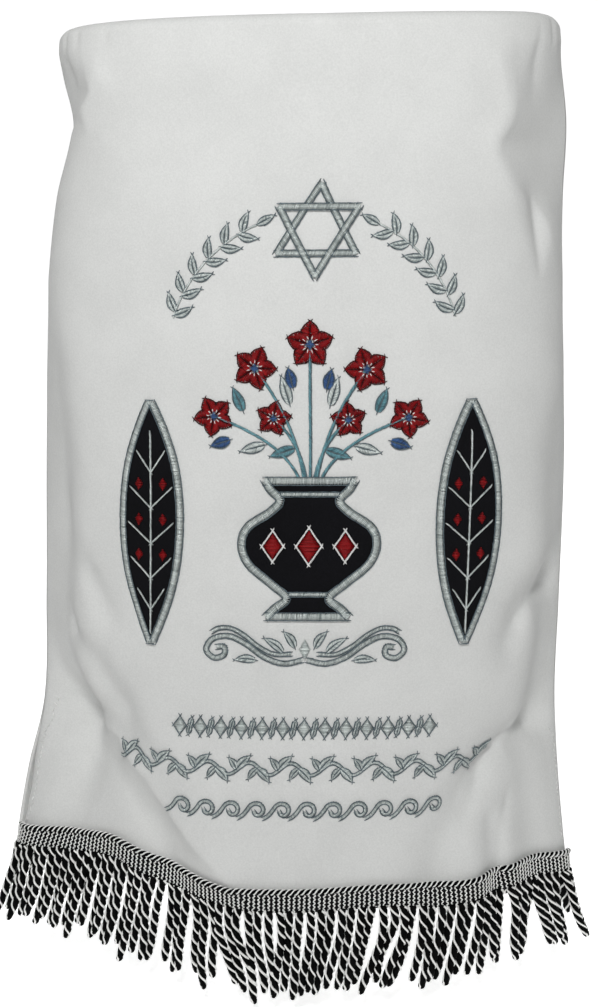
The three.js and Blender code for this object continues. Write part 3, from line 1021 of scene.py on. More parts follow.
@dataclass
class TopPanel:
    """Flat oval top with its two handle holes, soft at the edges."""

    cloth: Cloth
    thickness: float = 2.5
    soft_edge: float = 0.9
    hole: float = 42.0
    spacing: float = 156.0
    gap: float = 0.5
    steps: int = 72
    edge_steps: int = 3
    weld: float = 0.00002
    sharp_angle: float = 50.0

    def outline(self) -> Array:
        """Points round the oval.

        Returns:
            Level points (x, y) in millimetres.
        """
        across = np.linspace(-1, 1, self.steps + 1)
        inset = self.cloth.rim_turn_in + self.gap
        rows = []
        for side in Side:
            place, face = self.cloth.section(side, side.ordered(across), np.zeros(across.shape))
            rows.append((place - face * inset)[:-1])
        return np.concatenate(rows)

    def build(self, velvet: Material) -> Piece:
        """Fill the outline as a flat curve, round its edges and make it a mesh.

        Args:
            velvet: Its material.

        Returns:
            The piece.
        """
        turn = np.linspace(0, 2 * math.pi, self.steps, endpoint=False)
        circle = np.stack([np.cos(turn), np.sin(turn)], -1) * (self.hole / 2 + self.soft_edge)
        rings = [self.outline()]
        rings += [circle + (end * self.spacing / 2, 0) for end in (-1, 1)]
        centre = rings[0].mean(axis=0)
        shrink = 1 - self.soft_edge / np.linalg.norm(rings[0] - centre, axis=1, keepdims=True)
        rings[0] = centre + (rings[0] - centre) * shrink
        curve = bpy.data.curves.new("top_panel_velvet", "CURVE")
        curve.dimensions, curve.fill_mode = "2D", "BOTH"
        curve.extrude = (self.thickness / 2 - self.soft_edge) * MM
        curve.bevel_depth, curve.bevel_resolution = self.soft_edge * MM, self.edge_steps
        for ring in rings:
            spline = curve.splines.new("POLY")
            spline.points.add(len(ring) - 1)
            spline.use_cyclic_u = True
            for point, (x, y) in zip(spline.points, ring):
                point.co = (x * MM, y * MM, 0, 1)
        activate(linked("top_panel_velvet", curve))
        bpy.ops.object.convert(target="MESH")
        piece = bpy.context.active_object
        piece.data.transform(Matrix.Translation((0, 0, self.thickness / 2 * MM)))
        bpy.ops.object.mode_set(mode="EDIT")
        bpy.ops.mesh.select_all(action="SELECT")
        bpy.ops.mesh.remove_doubles(threshold=self.weld)
        bpy.ops.mesh.normals_make_consistent(inside=False)
        bpy.ops.object.mode_set(mode="OBJECT")
        bpy.ops.object.shade_smooth_by_angle(angle=math.radians(self.sharp_angle))
        dress(piece, velvet)
        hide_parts("top_panel")
        return piece


# Patches and embroidery


MOTIF_SHIFT = 7.0

LEAF = Table(
    ("drop", "half"),
    (
        (222, 1.5), (232, 6), (244, 10.5), (258, 14.5), (274, 17), (291, 18), (308, 17.5), (325, 15.5), (341, 12),
        (356, 7), (370, 1.5),
    ),
)
LEAF_OFFSET = 97.0

URN = Table(
    ("drop", "half"),
    (
        (268, 27), (273, 24), (280, 18), (287, 24), (296, 37), (308, 41), (320, 36), (332, 22), (341, 13), (347, 20),
        (352, 25),
    ),
)


def motif_x(u: Array, drop: Array) -> Array:
    """X of a place that lies u to the right of the embroidery's axis."""
    return (SECTIONS.at("right", drop) - SECTIONS.at("left", drop)) / 2 + MOTIF_SHIFT + u


@dataclass
class Patch:
    """Black velvet patch laid flat on the front."""

    cloth: Cloth
    node: str
    shape: Table
    offset: float
    columns: int = 24
    rows: int = 70
    lift: float = 1.5
    thickness: float = 0.9
    area_steps: int = 199

    def build(self, velvet: Material, front: Piece) -> None:
        """Args:
            velvet: Its material.
            front: Piece that it lies on; not used.
        """
        first, last = self.shape.rows[0][0], self.shape.rows[-1][0]
        drop = np.linspace(last, first, self.rows + 1)[:, None]
        half = self.shape.at("half", drop)
        u = self.offset + half * np.linspace(-1, 1, self.columns + 1)[None]
        drop = np.broadcast_to(drop, u.shape)
        across = self.cloth.across_at(motif_x(u, drop), drop)
        points = self.cloth.wall(Side.FRONT, across, drop)
        points = points + self.cloth.normal(Side.FRONT, across, drop) * self.lift
        piece = sheet_from_grid(f"{self.node}_velvet", points, self.thickness)
        dress(piece, velvet)
        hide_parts(self.node)
        levels = np.linspace(first, last, self.area_steps + 1)
        area = 2 * float(np.trapz(self.shape.at("half", levels), dx=(last - first) / self.area_steps))


class Thread(Enum):
    """Colours of the embroidery."""

    SILVER = "silver"
    WHITE = "white"
    RED = "red"
    WINE = "wine"
    TEAL = "teal"
    BLUE = "blue"
    # dark edge lines: an outline, partly painted shade
    DARK_EDGE_SHADE = "slate"


@dataclass
class Needlework:
    """Raised stitches on the front, each a thread that arches from one place to another."""

    cloth: Cloth
    spacing: float = 0.85
    rope_step: float = 1.5
    rope_half: float = 1.9
    line_wide: float = 0.15  # thin dark outlines, partly painted shade at the edges of raised work
    line_width: float = 0.62
    taper: tuple[float, ...] = (0.55, 0.95, 1.0, 0.95, 0.55)  # shares of a stitch's width at its stations
    crown: float = 1.1
    arch_power: float = 0.6
    uneven: float = 0.08
    stitches: dict[Thread, list[Array]] = field(default_factory=dict)
    random: np.random.Generator = field(default_factory=lambda: np.random.default_rng(SEED))

    def stitch(
        self, thread: Thread, start: Array, end: Array, lift: Pair, arch: float, width: float = 1.05
    ) -> None:
        """Add stitches.

        Args:
            thread: Colour.
            start: Places (u, drop) where they start.
            end: Places where they end.
            lift: Height off the velvet at the start and the end.
            arch: Height of the middle above its ends.
            width: Width of the thread.
        """
        start, end = np.atleast_2d(start), np.atleast_2d(end)
        ends = [place + self.random.normal(0, self.uneven, place.shape) for place in (start, end)]
        sizes = np.tile([*lift, arch, width], (len(start), 1))
        self.stitches.setdefault(thread, []).append(np.concatenate([*ends, sizes], axis=1))

    def walked(self, path: Array, spacing: float) -> tuple[Array, Array]:
        """Step along a path at even distances.

        Args:
            path: Points (u, drop).
            spacing: Distance between steps.

        Returns:
            The places, and the direction of the path at each.
        """
        run = travelled(path)
        steps = np.linspace(0, run[-1], max(3, round(run[-1] / spacing)))
        places = np.stack([np.interp(steps, run, path[:, k]) for k in (0, 1)], -1)
        return places, unit(np.gradient(places, axis=0))

    def band(
        self, thread: Thread, path: Array, width: float, lift: Pair = (0.2, 0.2), arch: float = 0.9, slant: float = 0.3
    ) -> None:
        """Satin stitches side by side across a path, with a thin dark line down each edge: a dark outline, partly
        painted shade.

        Args:
            thread: Colour.
            path: Points (u, drop) of its middle line.
            width: Width of the band.
            lift: Height off the velvet on its left and right, as the path runs.
            arch: Height of the middle above its edges.
            slant: Slope of the stitches along the path.
        """
        places, way = self.walked(path, self.spacing)
        square = square_to(way)
        half = (square + way * slant) * width / 2
        self.stitch(thread, places - half, places + half, lift, arch)
        for hand, height in ((-1, lift[0]), (1, lift[1])):
            line = places + square * hand * (width / 2 + self.line_wide)
            self.rope(Thread.DARK_EDGE_SHADE, line, height + 0.1, self.line_wide, self.line_width)

    def rope(
        self, thread: Thread, path: Array, lift: float = 0.15, wide: float = 0.8, width: float = 1.05
    ) -> None:
        """Stem stitch: short slanted stitches that overlap like a rope.

        Args:
            thread: Colour.
            path: Points (u, drop) of its line.
            lift: Height off the velvet.
            wide: How far each stitch crosses the line.
            width: Width of the thread.
        """
        places, way = self.walked(path, self.rope_step)
        along, aside = way * self.rope_half, square_to(way) * wide / 2
        self.stitch(thread, places - along - aside, places + along + aside, (lift, lift), 0.55, width)

    def leaf(
        self,
        thread: Thread,
        base: Sequence[float],
        tip: Sequence[float],
        half: float,
        bend: float = 0.0,
        lift: float = 0.15,
        vein: Thread = Thread.DARK_EDGE_SHADE,
    ) -> None:
        """Satin leaf or petal: two rows of slanted stitches that meet on a midrib, with a thin outline.

        Args:
            thread: Colour.
            base: Foot of the leaf (u, drop).
            tip: Its point.
            half: Half its width.
            bend: How far its middle bows sideways.
            lift: Height off the velvet.
            vein: Colour of the midrib and the outline; the default dark line is partly painted shade.
        """
        base, tip = np.array(base, float), np.array(tip, float)
        way = tip - base
        length = float(np.linalg.norm(way))
        way /= length
        square = square_to(way)
        first, last, slant = 0.03, 0.95, 0.14
        t = np.linspace(first, last, max(5, round(length / self.spacing)))[:, None]
        reach = np.minimum(t + slant, 1)
        rib, middle = (base + way * length * s + square * bend * np.sin(math.pi * s) for s in (t, reach))
        for hand in (-1, 1):
            edge = middle + square * hand * half * np.sin(math.pi * reach**0.85) ** 0.8
            self.stitch(thread, rib, edge, (lift + 0.1, lift), 0.7)
            self.rope(vein, edge, lift + 0.15, 0.15, 0.6)
        self.rope(vein, rib[: max(4, len(rib) * 4 // 5)], lift + 0.45, 0.1, 0.6)

    def lozenge(self, thread: Thread, centre: Sequence[float], half_u: float, half_drop: float, lift: float) -> None:
        """Diamond filled with level satin stitches.

        Args:
            thread: Colour.
            centre: Its middle (u, drop).
            half_u: Half its width.
            half_drop: Half its height.
            lift: Height off the velvet.
        """
        rows = max(4, round(2 * half_drop / self.spacing))
        v = np.linspace(-0.94, 0.94, rows)[:, None]
        reach = np.concatenate([half_u * (1 - abs(v)) + 0.35, np.zeros_like(v)], 1)
        middle = np.array(centre, float) + np.concatenate([np.zeros_like(v), v * half_drop], 1)
        self.stitch(thread, middle - reach, middle + reach, (lift, lift), 0.8)

    def ring(
        self, thread: Thread, centre: Sequence[float], half: Pair, lift: float, wide: float, width: float = 1.05
    ) -> None:
        """Rope stitched round a diamond.

        Args:
            thread: Colour.
            centre: Its middle (u, drop).
            half: Half its width and half its height.
            lift: Height off the velvet.
            wide: How far each stitch crosses the line.
            width: Width of the thread.
        """
        corners = np.array([(0, -1), (1, 0), (0, 1), (-1, 0), (0, -1)]) * half + centre
        for a, b in zip(corners, corners[1:]):
            self.rope(thread, np.array([a, b]), lift, wide, width)

    def framed(self, thread: Thread, centre: Sequence[float], half_u: float, half_drop: float, lift: float) -> None:
        """Diamond with a thin dark line round it, partly painted shade at its edge.

        Args:
            thread: Colour.
            centre: Its middle (u, drop).
            half_u: Half its width.
            half_drop: Half its height.
            lift: Height off the velvet.
        """
        self.lozenge(thread, centre, half_u, half_drop, lift)
        half = (half_u + 0.7, half_drop + 0.7)
        self.ring(Thread.DARK_EDGE_SHADE, centre, half, lift + 0.1, self.line_wide, self.line_width)

    def flower(self, centre: Sequence[float], size: float, turn: float, petals: int = 5, rays: int = 10) -> None:
        """Five-petalled red flower with dark veins, a ring of white stitches and a blue eye.

        Args:
            centre: Its middle (u, drop).
            size: Length of a petal.
            turn: Angle of the first petal.
            petals: Number of petals.
            rays: Number of white stitches.
        """
        centre = np.array(centre, float)
        for k in range(petals):
            angle = turn + k * 2 * math.pi / petals
            way = compass(angle) * size
            self.leaf(Thread.RED, centre + way * 0.16, centre + way, size * 0.38, 0.0, 0.25, Thread.WINE)
        for k in range(rays):
            angle = turn + (k + 0.5) * 2 * math.pi / rays
            way = compass(angle) * size
            self.stitch(Thread.WHITE, centre + way * 0.2, centre + way * 0.42, (0.9, 0.7), 0.4, 0.8)
        self.lozenge(Thread.BLUE, centre, size * 0.2, size * 0.2, 0.9)

    def mesh(self, thread: Thread) -> Piece:
        """Turn one colour's stitches into one joined mesh.

        Args:
            thread: Colour.

        Returns:
            The piece.
        """
        rows = np.concatenate(self.stitches[thread])
        count, k = len(rows), len(self.taper)
        t = np.linspace(0, 1, k)[None, :, None]
        flat = rows[:, None, 0:2] * (1 - t) + rows[:, None, 2:4] * t
        lift = rows[:, 4:5] * (1 - t[..., 0]) + rows[:, 5:6] * t[..., 0]
        lift = lift + rows[:, 6:7] * np.sin(math.pi * t[..., 0]) ** self.arch_power
        u, drop = flat[..., 0], flat[..., 1]
        across = self.cloth.across_at(motif_x(u, drop), drop)
        normal = self.cloth.normal(Side.FRONT, across, drop)
        base = self.cloth.wall(Side.FRONT, across, drop) + normal * lift[..., None]
        beside = np.cross(normal, unit(np.gradient(base, axis=1)))
        taper = np.array(self.taper)[None, :, None] * rows[:, 7, None, None] / 2
        ring = np.stack([base - beside * taper, base + normal * taper * self.crown, base + beside * taper], 2)
        points = ring.reshape(-1, 3)
        start = (np.arange(count) * k * 3)[:, None, None]
        station = (np.arange(k - 1) * 3)[None, :, None]
        a, b = np.arange(3)[None, None], (np.arange(3)[None, None] + 1) % 3
        low = start + station
        skin = np.stack([low + a, low + b, low + b + 3, low + a + 3], -1).reshape(-1, 4)
        first, last = start[:, 0, 0], start[:, 0, 0] + (k - 1) * 3
        caps = np.concatenate(
            [
                np.stack([first, first + 2, first + 1, first + 1], -1),
                np.stack([last, last + 1, last + 2, last + 2], -1),
            ]
        )
        shade = np.repeat(np.clip(self.random.normal(0.6, 0.2, count), 0.05, 1), k * 3)
        run = np.repeat(np.linalg.norm(np.diff(base, axis=1), axis=2).cumsum(axis=1), 3, axis=1)
        along = np.concatenate([np.zeros((count, 3)), run], axis=1).ravel()
        return joined_mesh(f"embroidery_{thread.value}", points, np.concatenate([skin, caps]), shade, along)


@dataclass
class Embroidery:
    """The front's design: star, laurels, urn of flowers, leaves, flourish and three bands of running ornament."""

    work: Needlework

    def star(self, centre: Sequence[float] = (2, 119), radius: float = 27, width: float = 3.6) -> None:
        """Six-pointed star of two satin triangles.

        Args:
            centre: Its middle (u, drop).
            radius: Reach of its points.
            width: Width of its bands.
        """
        for turn, lift in ((0.0, 0.2), (math.pi, 0.85)):
            angles = turn + np.array([0, 1, 2, 3]) * 2 * math.pi / 3
            corners = centre + radius * compass(angles)
            for a, b in zip(corners, corners[1:]):
                self.work.band(Thread.SILVER, np.array([a, b]), width, (lift, lift))

    def laurels(self, centre: Sequence[float] = (2, 196), radius: float = 88) -> None:
        """Two silver laurel sprays, one each side of the star.

        Args:
            centre: Middle (u, drop) of the arc that both stems follow.
            radius: Radius of that arc.
        """
        angles = np.radians(np.linspace(72, 24, 40))
        for hand in (-1, 1):
            stem = centre + radius * compass(angles) * (hand, 1)
            self.work.rope(Thread.SILVER, stem)
            places, way = self.work.walked(stem, 10.5)
            for place, along in zip(places[:-1], way[:-1]):
                square = square_to(along)
                for reach in (-1, 1):
                    base = place + along * (2.5 if reach > 0 else 0)
                    tip = base + along * 8.5 + square * reach * 8.2
                    self.work.leaf(Thread.SILVER, base, tip, 2.5, 0.8 * reach)
            self.work.leaf(Thread.SILVER, places[-1], places[-1] + way[-1] * 11, 2.4)

    def bouquet(self, foot_drop: float = 266.0) -> None:
        """Stems, leaves, buds and flowers that stand in the urn.

        Args:
            foot_drop: Drop at which the stems leave the urn.
        """
        flowers = (
            (0, 186, 14.0, 0.0),
            (-33, 200, 13.0, 0.35),
            (34, 201, 13.0, -0.3),
            (-58, 229, 12.0, 0.8),
            (59, 230, 12.0, -0.7),
            (-22, 230, 10.5, 0.2),
            (23, 231, 10.5, -0.1),
        )
        t = np.linspace(0, 1, 24)[:, None]
        for u, drop, *_ in flowers:
            foot = np.array([u * 0.12, foot_drop])
            knee = np.array([u * 0.3, 0.45 * drop + 0.55 * foot_drop - 6])
            stem = foot * (1 - t) ** 2 + knee * 2 * t * (1 - t) + np.array([u, drop]) * t**2
            # dark rope offset down and right of each stem and lying lower: painted shadow of the stem, partly its
            # outline
            self.work.rope(Thread.DARK_EDGE_SHADE, stem + (0.9, 0.3), 0.1, 0.2, 0.7)
            self.work.rope(Thread.TEAL, stem, 0.2, 1.3, 1.2)
        for u, drop, size, turn in flowers:
            self.work.flower((u, drop), size, turn)
        for thread, u, drop, tip_u, tip_drop, half, lift in (
            (Thread.SILVER, 12, 222, 17, 205, 3.2, 0.15),
            (Thread.SILVER, 27, 246, 42, 250, 3.2, 0.15),
            (Thread.TEAL, 9, 248, 24, 253, 3.2, 0.15),
            (Thread.TEAL, 40, 226, 46, 212, 3.2, 0.15),
            (Thread.BLUE, 10, 212, 13, 200, 3.4, 0.3),
            (Thread.BLUE, 48, 243, 60, 247, 3.4, 0.3),
        ):
            for hand, lower in ((-1, 0), (1, 1)):
                base, tip = (hand * u, drop + lower), (hand * tip_u, tip_drop + lower)
                self.work.leaf(thread, base, tip, half, 0.0, lift)

    def outline(self, shape: Table, offset: float, hand: int, steps: int = 160) -> Array:
        """Points down one side of a patch's outline."""
        drop = np.linspace(shape.rows[0][0], shape.rows[-1][0], steps)
        return np.stack([offset + hand * shape.at("half", drop), drop], -1)

    def edge(self, shape: Table, offset: float, width: float) -> None:
        """Silver satin over the edge of a patch, higher on the patch than on the ground.

        Args:
            shape: Outline of the patch.
            offset: Its middle, right of the axis.
            width: Width of the satin.
        """
        for hand in (-1, 1):
            path = self.outline(shape, offset, hand)
            lift = (1.6, 0.3) if hand > 0 else (0.3, 1.6)
            self.work.band(Thread.SILVER, path, width, lift, 0.9, 0.15)
        for row in (shape.rows[0], shape.rows[-1]):
            ends = np.array([[offset - row[1], row[0]], [offset + row[1], row[0]]])
            self.work.band(Thread.SILVER, ends, width, (1.2, 1.2), 0.7, 0.1)

    def urn(self, middle: float = 308) -> None:
        """Edge of the urn, and red lozenges with white edges across it.

        Args:
            middle: Drop of the lozenges.
        """
        self.edge(URN, 0, 4.6)
        for u in (-22, 0, 22):
            half = 5.2 if u else 6.4
            self.work.lozenge(Thread.RED, (u, middle), half, half * 1.5, 1.7)
            self.work.ring(Thread.WHITE, (u, middle), (half + 1.4, half * 1.5 + 1.9), 1.7, 0.6)
        for drop, half in ((276, 17), (338, 11)):
            self.work.band(Thread.SILVER, np.array([(-half, drop), (half, drop)]), 2.6, (1.6, 1.6), 0.6)

    def leaves(self, vein_rise: float = 6.0) -> None:
        """Edges, midribs and veins of the two black leaves, with red lozenges between the veins.

        Args:
            vein_rise: Half of a vein's climb from the midrib to its tip.
        """
        for hand in (-1, 1):
            centre = hand * LEAF_OFFSET
            self.edge(LEAF, centre, 4.0)
            self.work.rope(Thread.SILVER, np.array([(centre, 240), (centre, 364)]), 1.7, 0.9)
            for drop in (258, 280, 302, 324, 344):
                reach = float(LEAF.at("half", np.array(drop - vein_rise))) - 5
                for side in (-1, 1):
                    vein = np.array([(centre, drop + vein_rise), (centre + side * reach, drop - vein_rise)])
                    self.work.rope(Thread.SILVER, vein, 1.65, 0.5)
            for drop in (271, 293, 315):
                for side in (-1, 1):
                    self.work.lozenge(Thread.RED, (centre + side * 7.5, drop), 2.4, 3.6, 1.7)

    def flourish(self, centre: Sequence[float] = (-1, 371)) -> None:
        """Two silver scrolls that meet under the urn, each of two strands and three leaves, with a lozenge between.

        Args:
            centre: Place (u, drop) where the scrolls meet.
        """
        strands = (
            (
                3.0,
                ((2, 9), (13, 11), (25, 7), (36, -1), (47, -6), (57, -4), (61, 3), (56, 8), (50, 6), (50, 1), (54, 1)),
            ),
            (2.3, ((9, 5), (19, 5), (29, 0), (38, -7), (46, -11), (53, -11), (57, -9))),
        )
        for hand in (-1, 1):
            for width, points in strands:
                line = Table(("step", "u", "drop"), tuple((k, *point) for k, point in enumerate(points)))
                step = np.linspace(0, len(points) - 1, 120)
                path = np.stack([hand * line.at("u", step), line.at("drop", step)], -1) + centre
                self.work.band(Thread.SILVER, path, width, (0.15, 0.15), 0.8)
            for base, tip in (((13, 4), (25, -5)), ((6, 1), (13, -9)), ((30, 9), (43, 9))):
                base, tip = np.array(base) * (hand, 1) + centre, np.array(tip) * (hand, 1) + centre
                self.work.leaf(Thread.SILVER, base, tip, 2.5, 0.9 * hand)
        self.work.lozenge(Thread.SILVER, (centre[0], centre[1] + 2), 3.4, 6.4, 0.3)

    def bands(self) -> None:
        """Three bands of running ornament: lozenges and leaves, a leafy wave, a running scroll."""
        silver = Thread.SILVER
        drop, step, last = 424, 13.0, 78
        for u in np.arange(-last, last + 1, step):
            self.work.framed(silver, (u, drop), 3.6, 5.4, 0.2)
            if u < last:
                middle = u + step / 2
                for hand in (1, -1):
                    self.work.leaf(silver, (middle, drop), (middle + hand * 1.1, drop - hand * 5.6), 1.7)
        drop, swing, period = 450, 3.8, 26
        u = np.linspace(-124, 122, 400)
        wave = np.stack([u, drop + swing * np.sin(u * 2 * math.pi / period)], -1)
        self.work.band(silver, wave, 1.7, (0.15, 0.15), 0.6, 0.7)
        for at in np.arange(-117.5, 118, period / 2):
            rise = math.sin(at * 2 * math.pi / period)
            foot, up = (at - 1, drop + swing * rise), -1 if rise > 0 else 1
            self.work.leaf(silver, foot, (at + 7, foot[1] + up * 8.6), 2.7, 0.6)
            self.work.leaf(silver, foot, (at - 6, foot[1] + up * 7.0), 2.1, -0.5)
        drop, foot_drop, steps = 477, 481.5, 14
        turn = np.linspace(0, 1, 40)
        angle, radius = math.pi * (1.15 + 1.75 * turn), 5.6 - 3.9 * turn
        sag = foot_drop - 0.6 * np.sin(np.linspace(0, 3, steps))
        for u in np.arange(-84, 77, 16.0):
            curl = np.stack([u + 10.5 + radius * np.cos(angle), drop + radius * np.sin(angle)], -1)
            foot = np.stack([np.linspace(u - 1, curl[0, 0], steps), sag], -1)
            foot[:, 1] += np.linspace(0, 1, steps) ** 2 * (curl[0, 1] - foot[-1, 1])
            self.work.band(silver, np.concatenate([foot, curl]), 2.0, (0.15, 0.15), 0.7, 0.5)

    def slit_stitching(self, seam: float = 0.955, pitch: float = 3.6, length: float = 2.5) -> None:
        """Line of white stitches that holds the hem down each slit of the front.

        Args:
            seam: Place across, towards each seam.
            pitch: Distance between stitches.
            length: Length of a stitch.
        """
        for hand, first in ((-1, 430.0), (1, 448.0)):
            start, ends = np.arange(first, 524.0, pitch), []
            for drop in (start, start + length):
                x = self.work.cloth.section(Side.FRONT, np.full(drop.shape, hand * seam), drop)[0][:, 0]
                ends.append(np.stack([x - motif_x(np.zeros_like(drop), drop), drop], -1))
            self.work.stitch(Thread.WHITE, ends[0], ends[1], (-0.3, -0.3), 0.45)

    def build(self, materials: dict[Thread, Material]) -> list[Piece]:
        """Work the whole design and dress each colour.

        Args:
            materials: Material of each colour.

        Returns:
            The pieces, one for each colour.
        """
        self.star()
        self.laurels()
        self.bouquet()
        self.urn()
        self.leaves()
        self.flourish()
        self.bands()
        self.slit_stitching()
        pieces = []
        for thread, material in materials.items():
            piece = self.work.mesh(thread)
            dress(piece, material)
            pieces.append(piece)
        return pieces


# Fringe


CORDS = {
    Side.FRONT: Table(
        ("across", "length"),
        (
            (-1, 50), (-0.75, 54), (-0.45, 58), (-0.2, 57), (-0.05, 59), (0.1, 58), (0.3, 56), (0.45, 53), (0.6, 50),
            (0.8, 50), (1, 50),
        ),
    ),
    Side.BACK: Table(("across", "length"), ((-1, 52), (-0.3, 58), (0.3, 60), (1, 52))),
}


@dataclass(frozen=True)
class Clump:
    """Neighbouring cords that hang together: how many, their lean in degrees, their curl and how close they draw."""

    cords: int
    lean: float
    curl: float = 0.0
    drawn_in: float = 0.18


CLUMPS = {
    side: tuple(Clump(*row) for row in rows)
    for side, rows in (
        (
            Side.FRONT,
            (
                (3, -15.6, 0, 0), (3, -15, 0, 0), (4, -14, 0, 0), (4, -13, 0, 0), (4, -12, 0, 0), (3, -11, 0, 0.02),
                (2, -11, -1.5), (3, -3), (3, 2, 1.0), (1, 11, -1.0), (2, 10, -1.5), (3, 3), (1, -2, 1.5), (3, -4),
                (2, -9, 1.0), (1, -11, 1.0), (3, -11), (3, -13, 1.5), (1, -18, 1.0), (6, -11), (1, -12, 1.5),
                (1, -9, 1.0), (2, -3), (1, 3, 3.0), (3, -4, 1.5), (4, 10, -1.0), (3, 15, 1.0),
            ),
        ),
        (
            Side.BACK,
            (
                (4, -9), (5, -5), (2, -9, 1.0), (4, -2), (3, 4), (1, 9, 1.5), (5, 2), (3, -4), (4, 1, 1.0), (2, 7),
                (5, -3), (1, -9, -1.5), (4, -5), (3, 2), (5, 0), (2, 6, -1.0), (4, 3), (3, 8), (6, 6), (6, 9),
            ),
        ),
    )
}


@dataclass
class Fringe:
    """Bullion fringe: woven heading, corded upper edge, and twisted cords that end in loops."""

    cloth: Cloth
    side: Side
    pitch: float = 6.5
    packed: int = 0  # cords at the left end that hang closer together
    packed_pitch: float = 5.25
    packed_depth: float = 2.6
    loose_depth: float = 1.7
    rear_share: float = -0.4  # of either depth, for every second cord
    lone_depth: float = 0.4
    root_rise: float = 1.5
    root_inset: float = 0.4
    length_share: float = 0.94
    length_spread: float = 1.4
    uneven: float = 3.0
    uneven_step: float = 2.4
    lean_spread: float = 0.3
    lean_gather: float = 4.0
    waver: float = 0.8
    splay: float = 0.06
    ply_radius: float = 1.5
    ply_turn: float = 1.35
    thread_radius: float = 0.74
    core_radius: float = 2.2
    thread_turn: float = 2.5
    twist: float = -16.5
    twist_span: Pair = (0.86, 1.14)
    tip_close: float = 0.25
    tip_length: float = 1.25
    end_margin: float = 0.0
    stations: int = 46
    hem_steps: int = 2400
    heading_lift: float = 2.6
    heading_thickness: float = 1.5
    heading_columns: int = 300
    edge_below: float = 0.6
    edge_lift: float = 2.4
    edge_twist: float = 7.4
    rib_pitch: float = 3.15
    rib_swing: float = 0.66
    rib_wave: float = 2.5
    rib_radius: float = 0.47

    def __post_init__(self) -> None:
        """Measure the hem once."""
        self.random = np.random.default_rng(SEED + (self.side is Side.BACK))
        self.span = np.linspace(-1, 1, self.hem_steps)
        foot = self.cloth.heading_drop(self.side, self.span) + self.cloth.heading
        self.run = travelled(self.cloth.wall(self.side, self.span, foot))

    def across_run(self, run: Array) -> Array:
        """Places across at given distances along the hem."""
        return np.interp(run, self.run, self.span)

    def off(self, across: Array, below: float | Array, out: float | Array) -> Array:
        """Points at a distance below the heading's upper edge, and out from the velvet.

        Args:
            across: Places across.
            below: Distance below that edge.
            out: Distance out from the velvet.

        Returns:
            Points in millimetres.
        """
        drop = self.cloth.heading_drop(self.side, across) + below
        lifted = (np.asarray(out, float) * np.ones_like(across))[..., None]
        return self.cloth.wall(self.side, across, drop) + self.cloth.normal(self.side, across, drop) * lifted

    def heading(self, tape: Material) -> Piece:
        """Woven tape sewn over the hem.

        Args:
            tape: Its material.

        Returns:
            The piece.
        """
        first = 0.5 + self.end_margin
        run = np.linspace(first, self.run[-1] - 0.5 - self.end_margin, self.heading_columns)
        across = self.side.ordered(self.across_run(run))
        below = np.linspace(self.cloth.heading, 1.0, 8)
        points = np.array([self.off(across, b, self.heading_lift) for b in below])
        piece = sheet_from_grid(f"{self.side.value}_fringe_tape", points, self.heading_thickness)
        dress(piece, tape)
        return piece

    def cord_paths(self) -> list[tuple[Array, Array, Array]]:
        """Middle line of each hanging cord, with two directions square to it.

        Returns:
            Points, sideways directions and outward directions of each cord.
        """
        saved = self.packed * (self.pitch - self.packed_pitch)
        count = int((self.run[-1] - 2 * self.end_margin + saved) / self.pitch)
        margin = (self.run[-1] - count * self.pitch + saved) / 2
        spacing = np.where(np.arange(count) < self.packed, self.packed_pitch, self.pitch)
        across = self.across_run(margin + np.cumsum(spacing) - spacing / 2)
        root = self.off(across, self.cloth.heading - self.root_rise, self.heading_lift - self.root_inset)
        length = CORDS[self.side].at("length", across)
        step = 0.004
        low, high = np.clip(across - step, -1, 1), np.clip(across + step, -1, 1)
        beside = self.off(high, self.cloth.heading, 0.0) - self.off(low, self.cloth.heading, 0.0)
        beside = unit(beside * (1, 1, 0))
        outward = np.stack([beside[:, 1], -beside[:, 0], np.zeros(count)], -1) * -self.side.facing
        clumps = [(clump, k) for clump in CLUMPS[self.side] for k in range(clump.cords)]
        clumps += [clumps[-1]] * max(0, count - len(clumps))
        paths = []
        t = np.linspace(0, 1, self.stations)
        for i, (clump, k) in zip(range(count), clumps):
            pull = ((clump.cords - 1) / 2 - k) * self.pitch * clump.drawn_in
            spread = self.packed_depth if i < self.packed else self.loose_depth
            depth = spread * (1 if i % 2 else self.rear_share) if clump.cords > 1 else self.lone_depth
            reach = self.length_share * length[i] + self.uneven * math.sin(i * self.uneven_step)
            reach += self.random.normal(0, self.length_spread)
            turned = self.random.normal(0, self.lean_spread + self.lean_gather * clump.drawn_in)
            slope = math.tan(math.radians(clump.lean + turned))
            waver = self.random.normal(0, self.waver) * np.sin(math.pi * t * self.random.uniform(1.0, 2.4))
            curl = clump.curl * np.sin(math.pi * t) + clump.curl * 0.6 * np.sin(2 * math.pi * t)
            lean = slope * reach * (0.6 * t + 0.4 * t * t)
            fall = -reach * t * math.cos(math.atan(slope))
            path = root[i] + np.stack([lean, np.zeros_like(t), fall], -1)
            path = path + beside[i] * (pull * t**1.2 + waver + curl)[:, None]
            path = path + outward[i] * (self.splay * reach * t + depth * smooth(t, 0, 0.5))[:, None]
            paths.append((path, beside[i], outward[i]))
        return paths

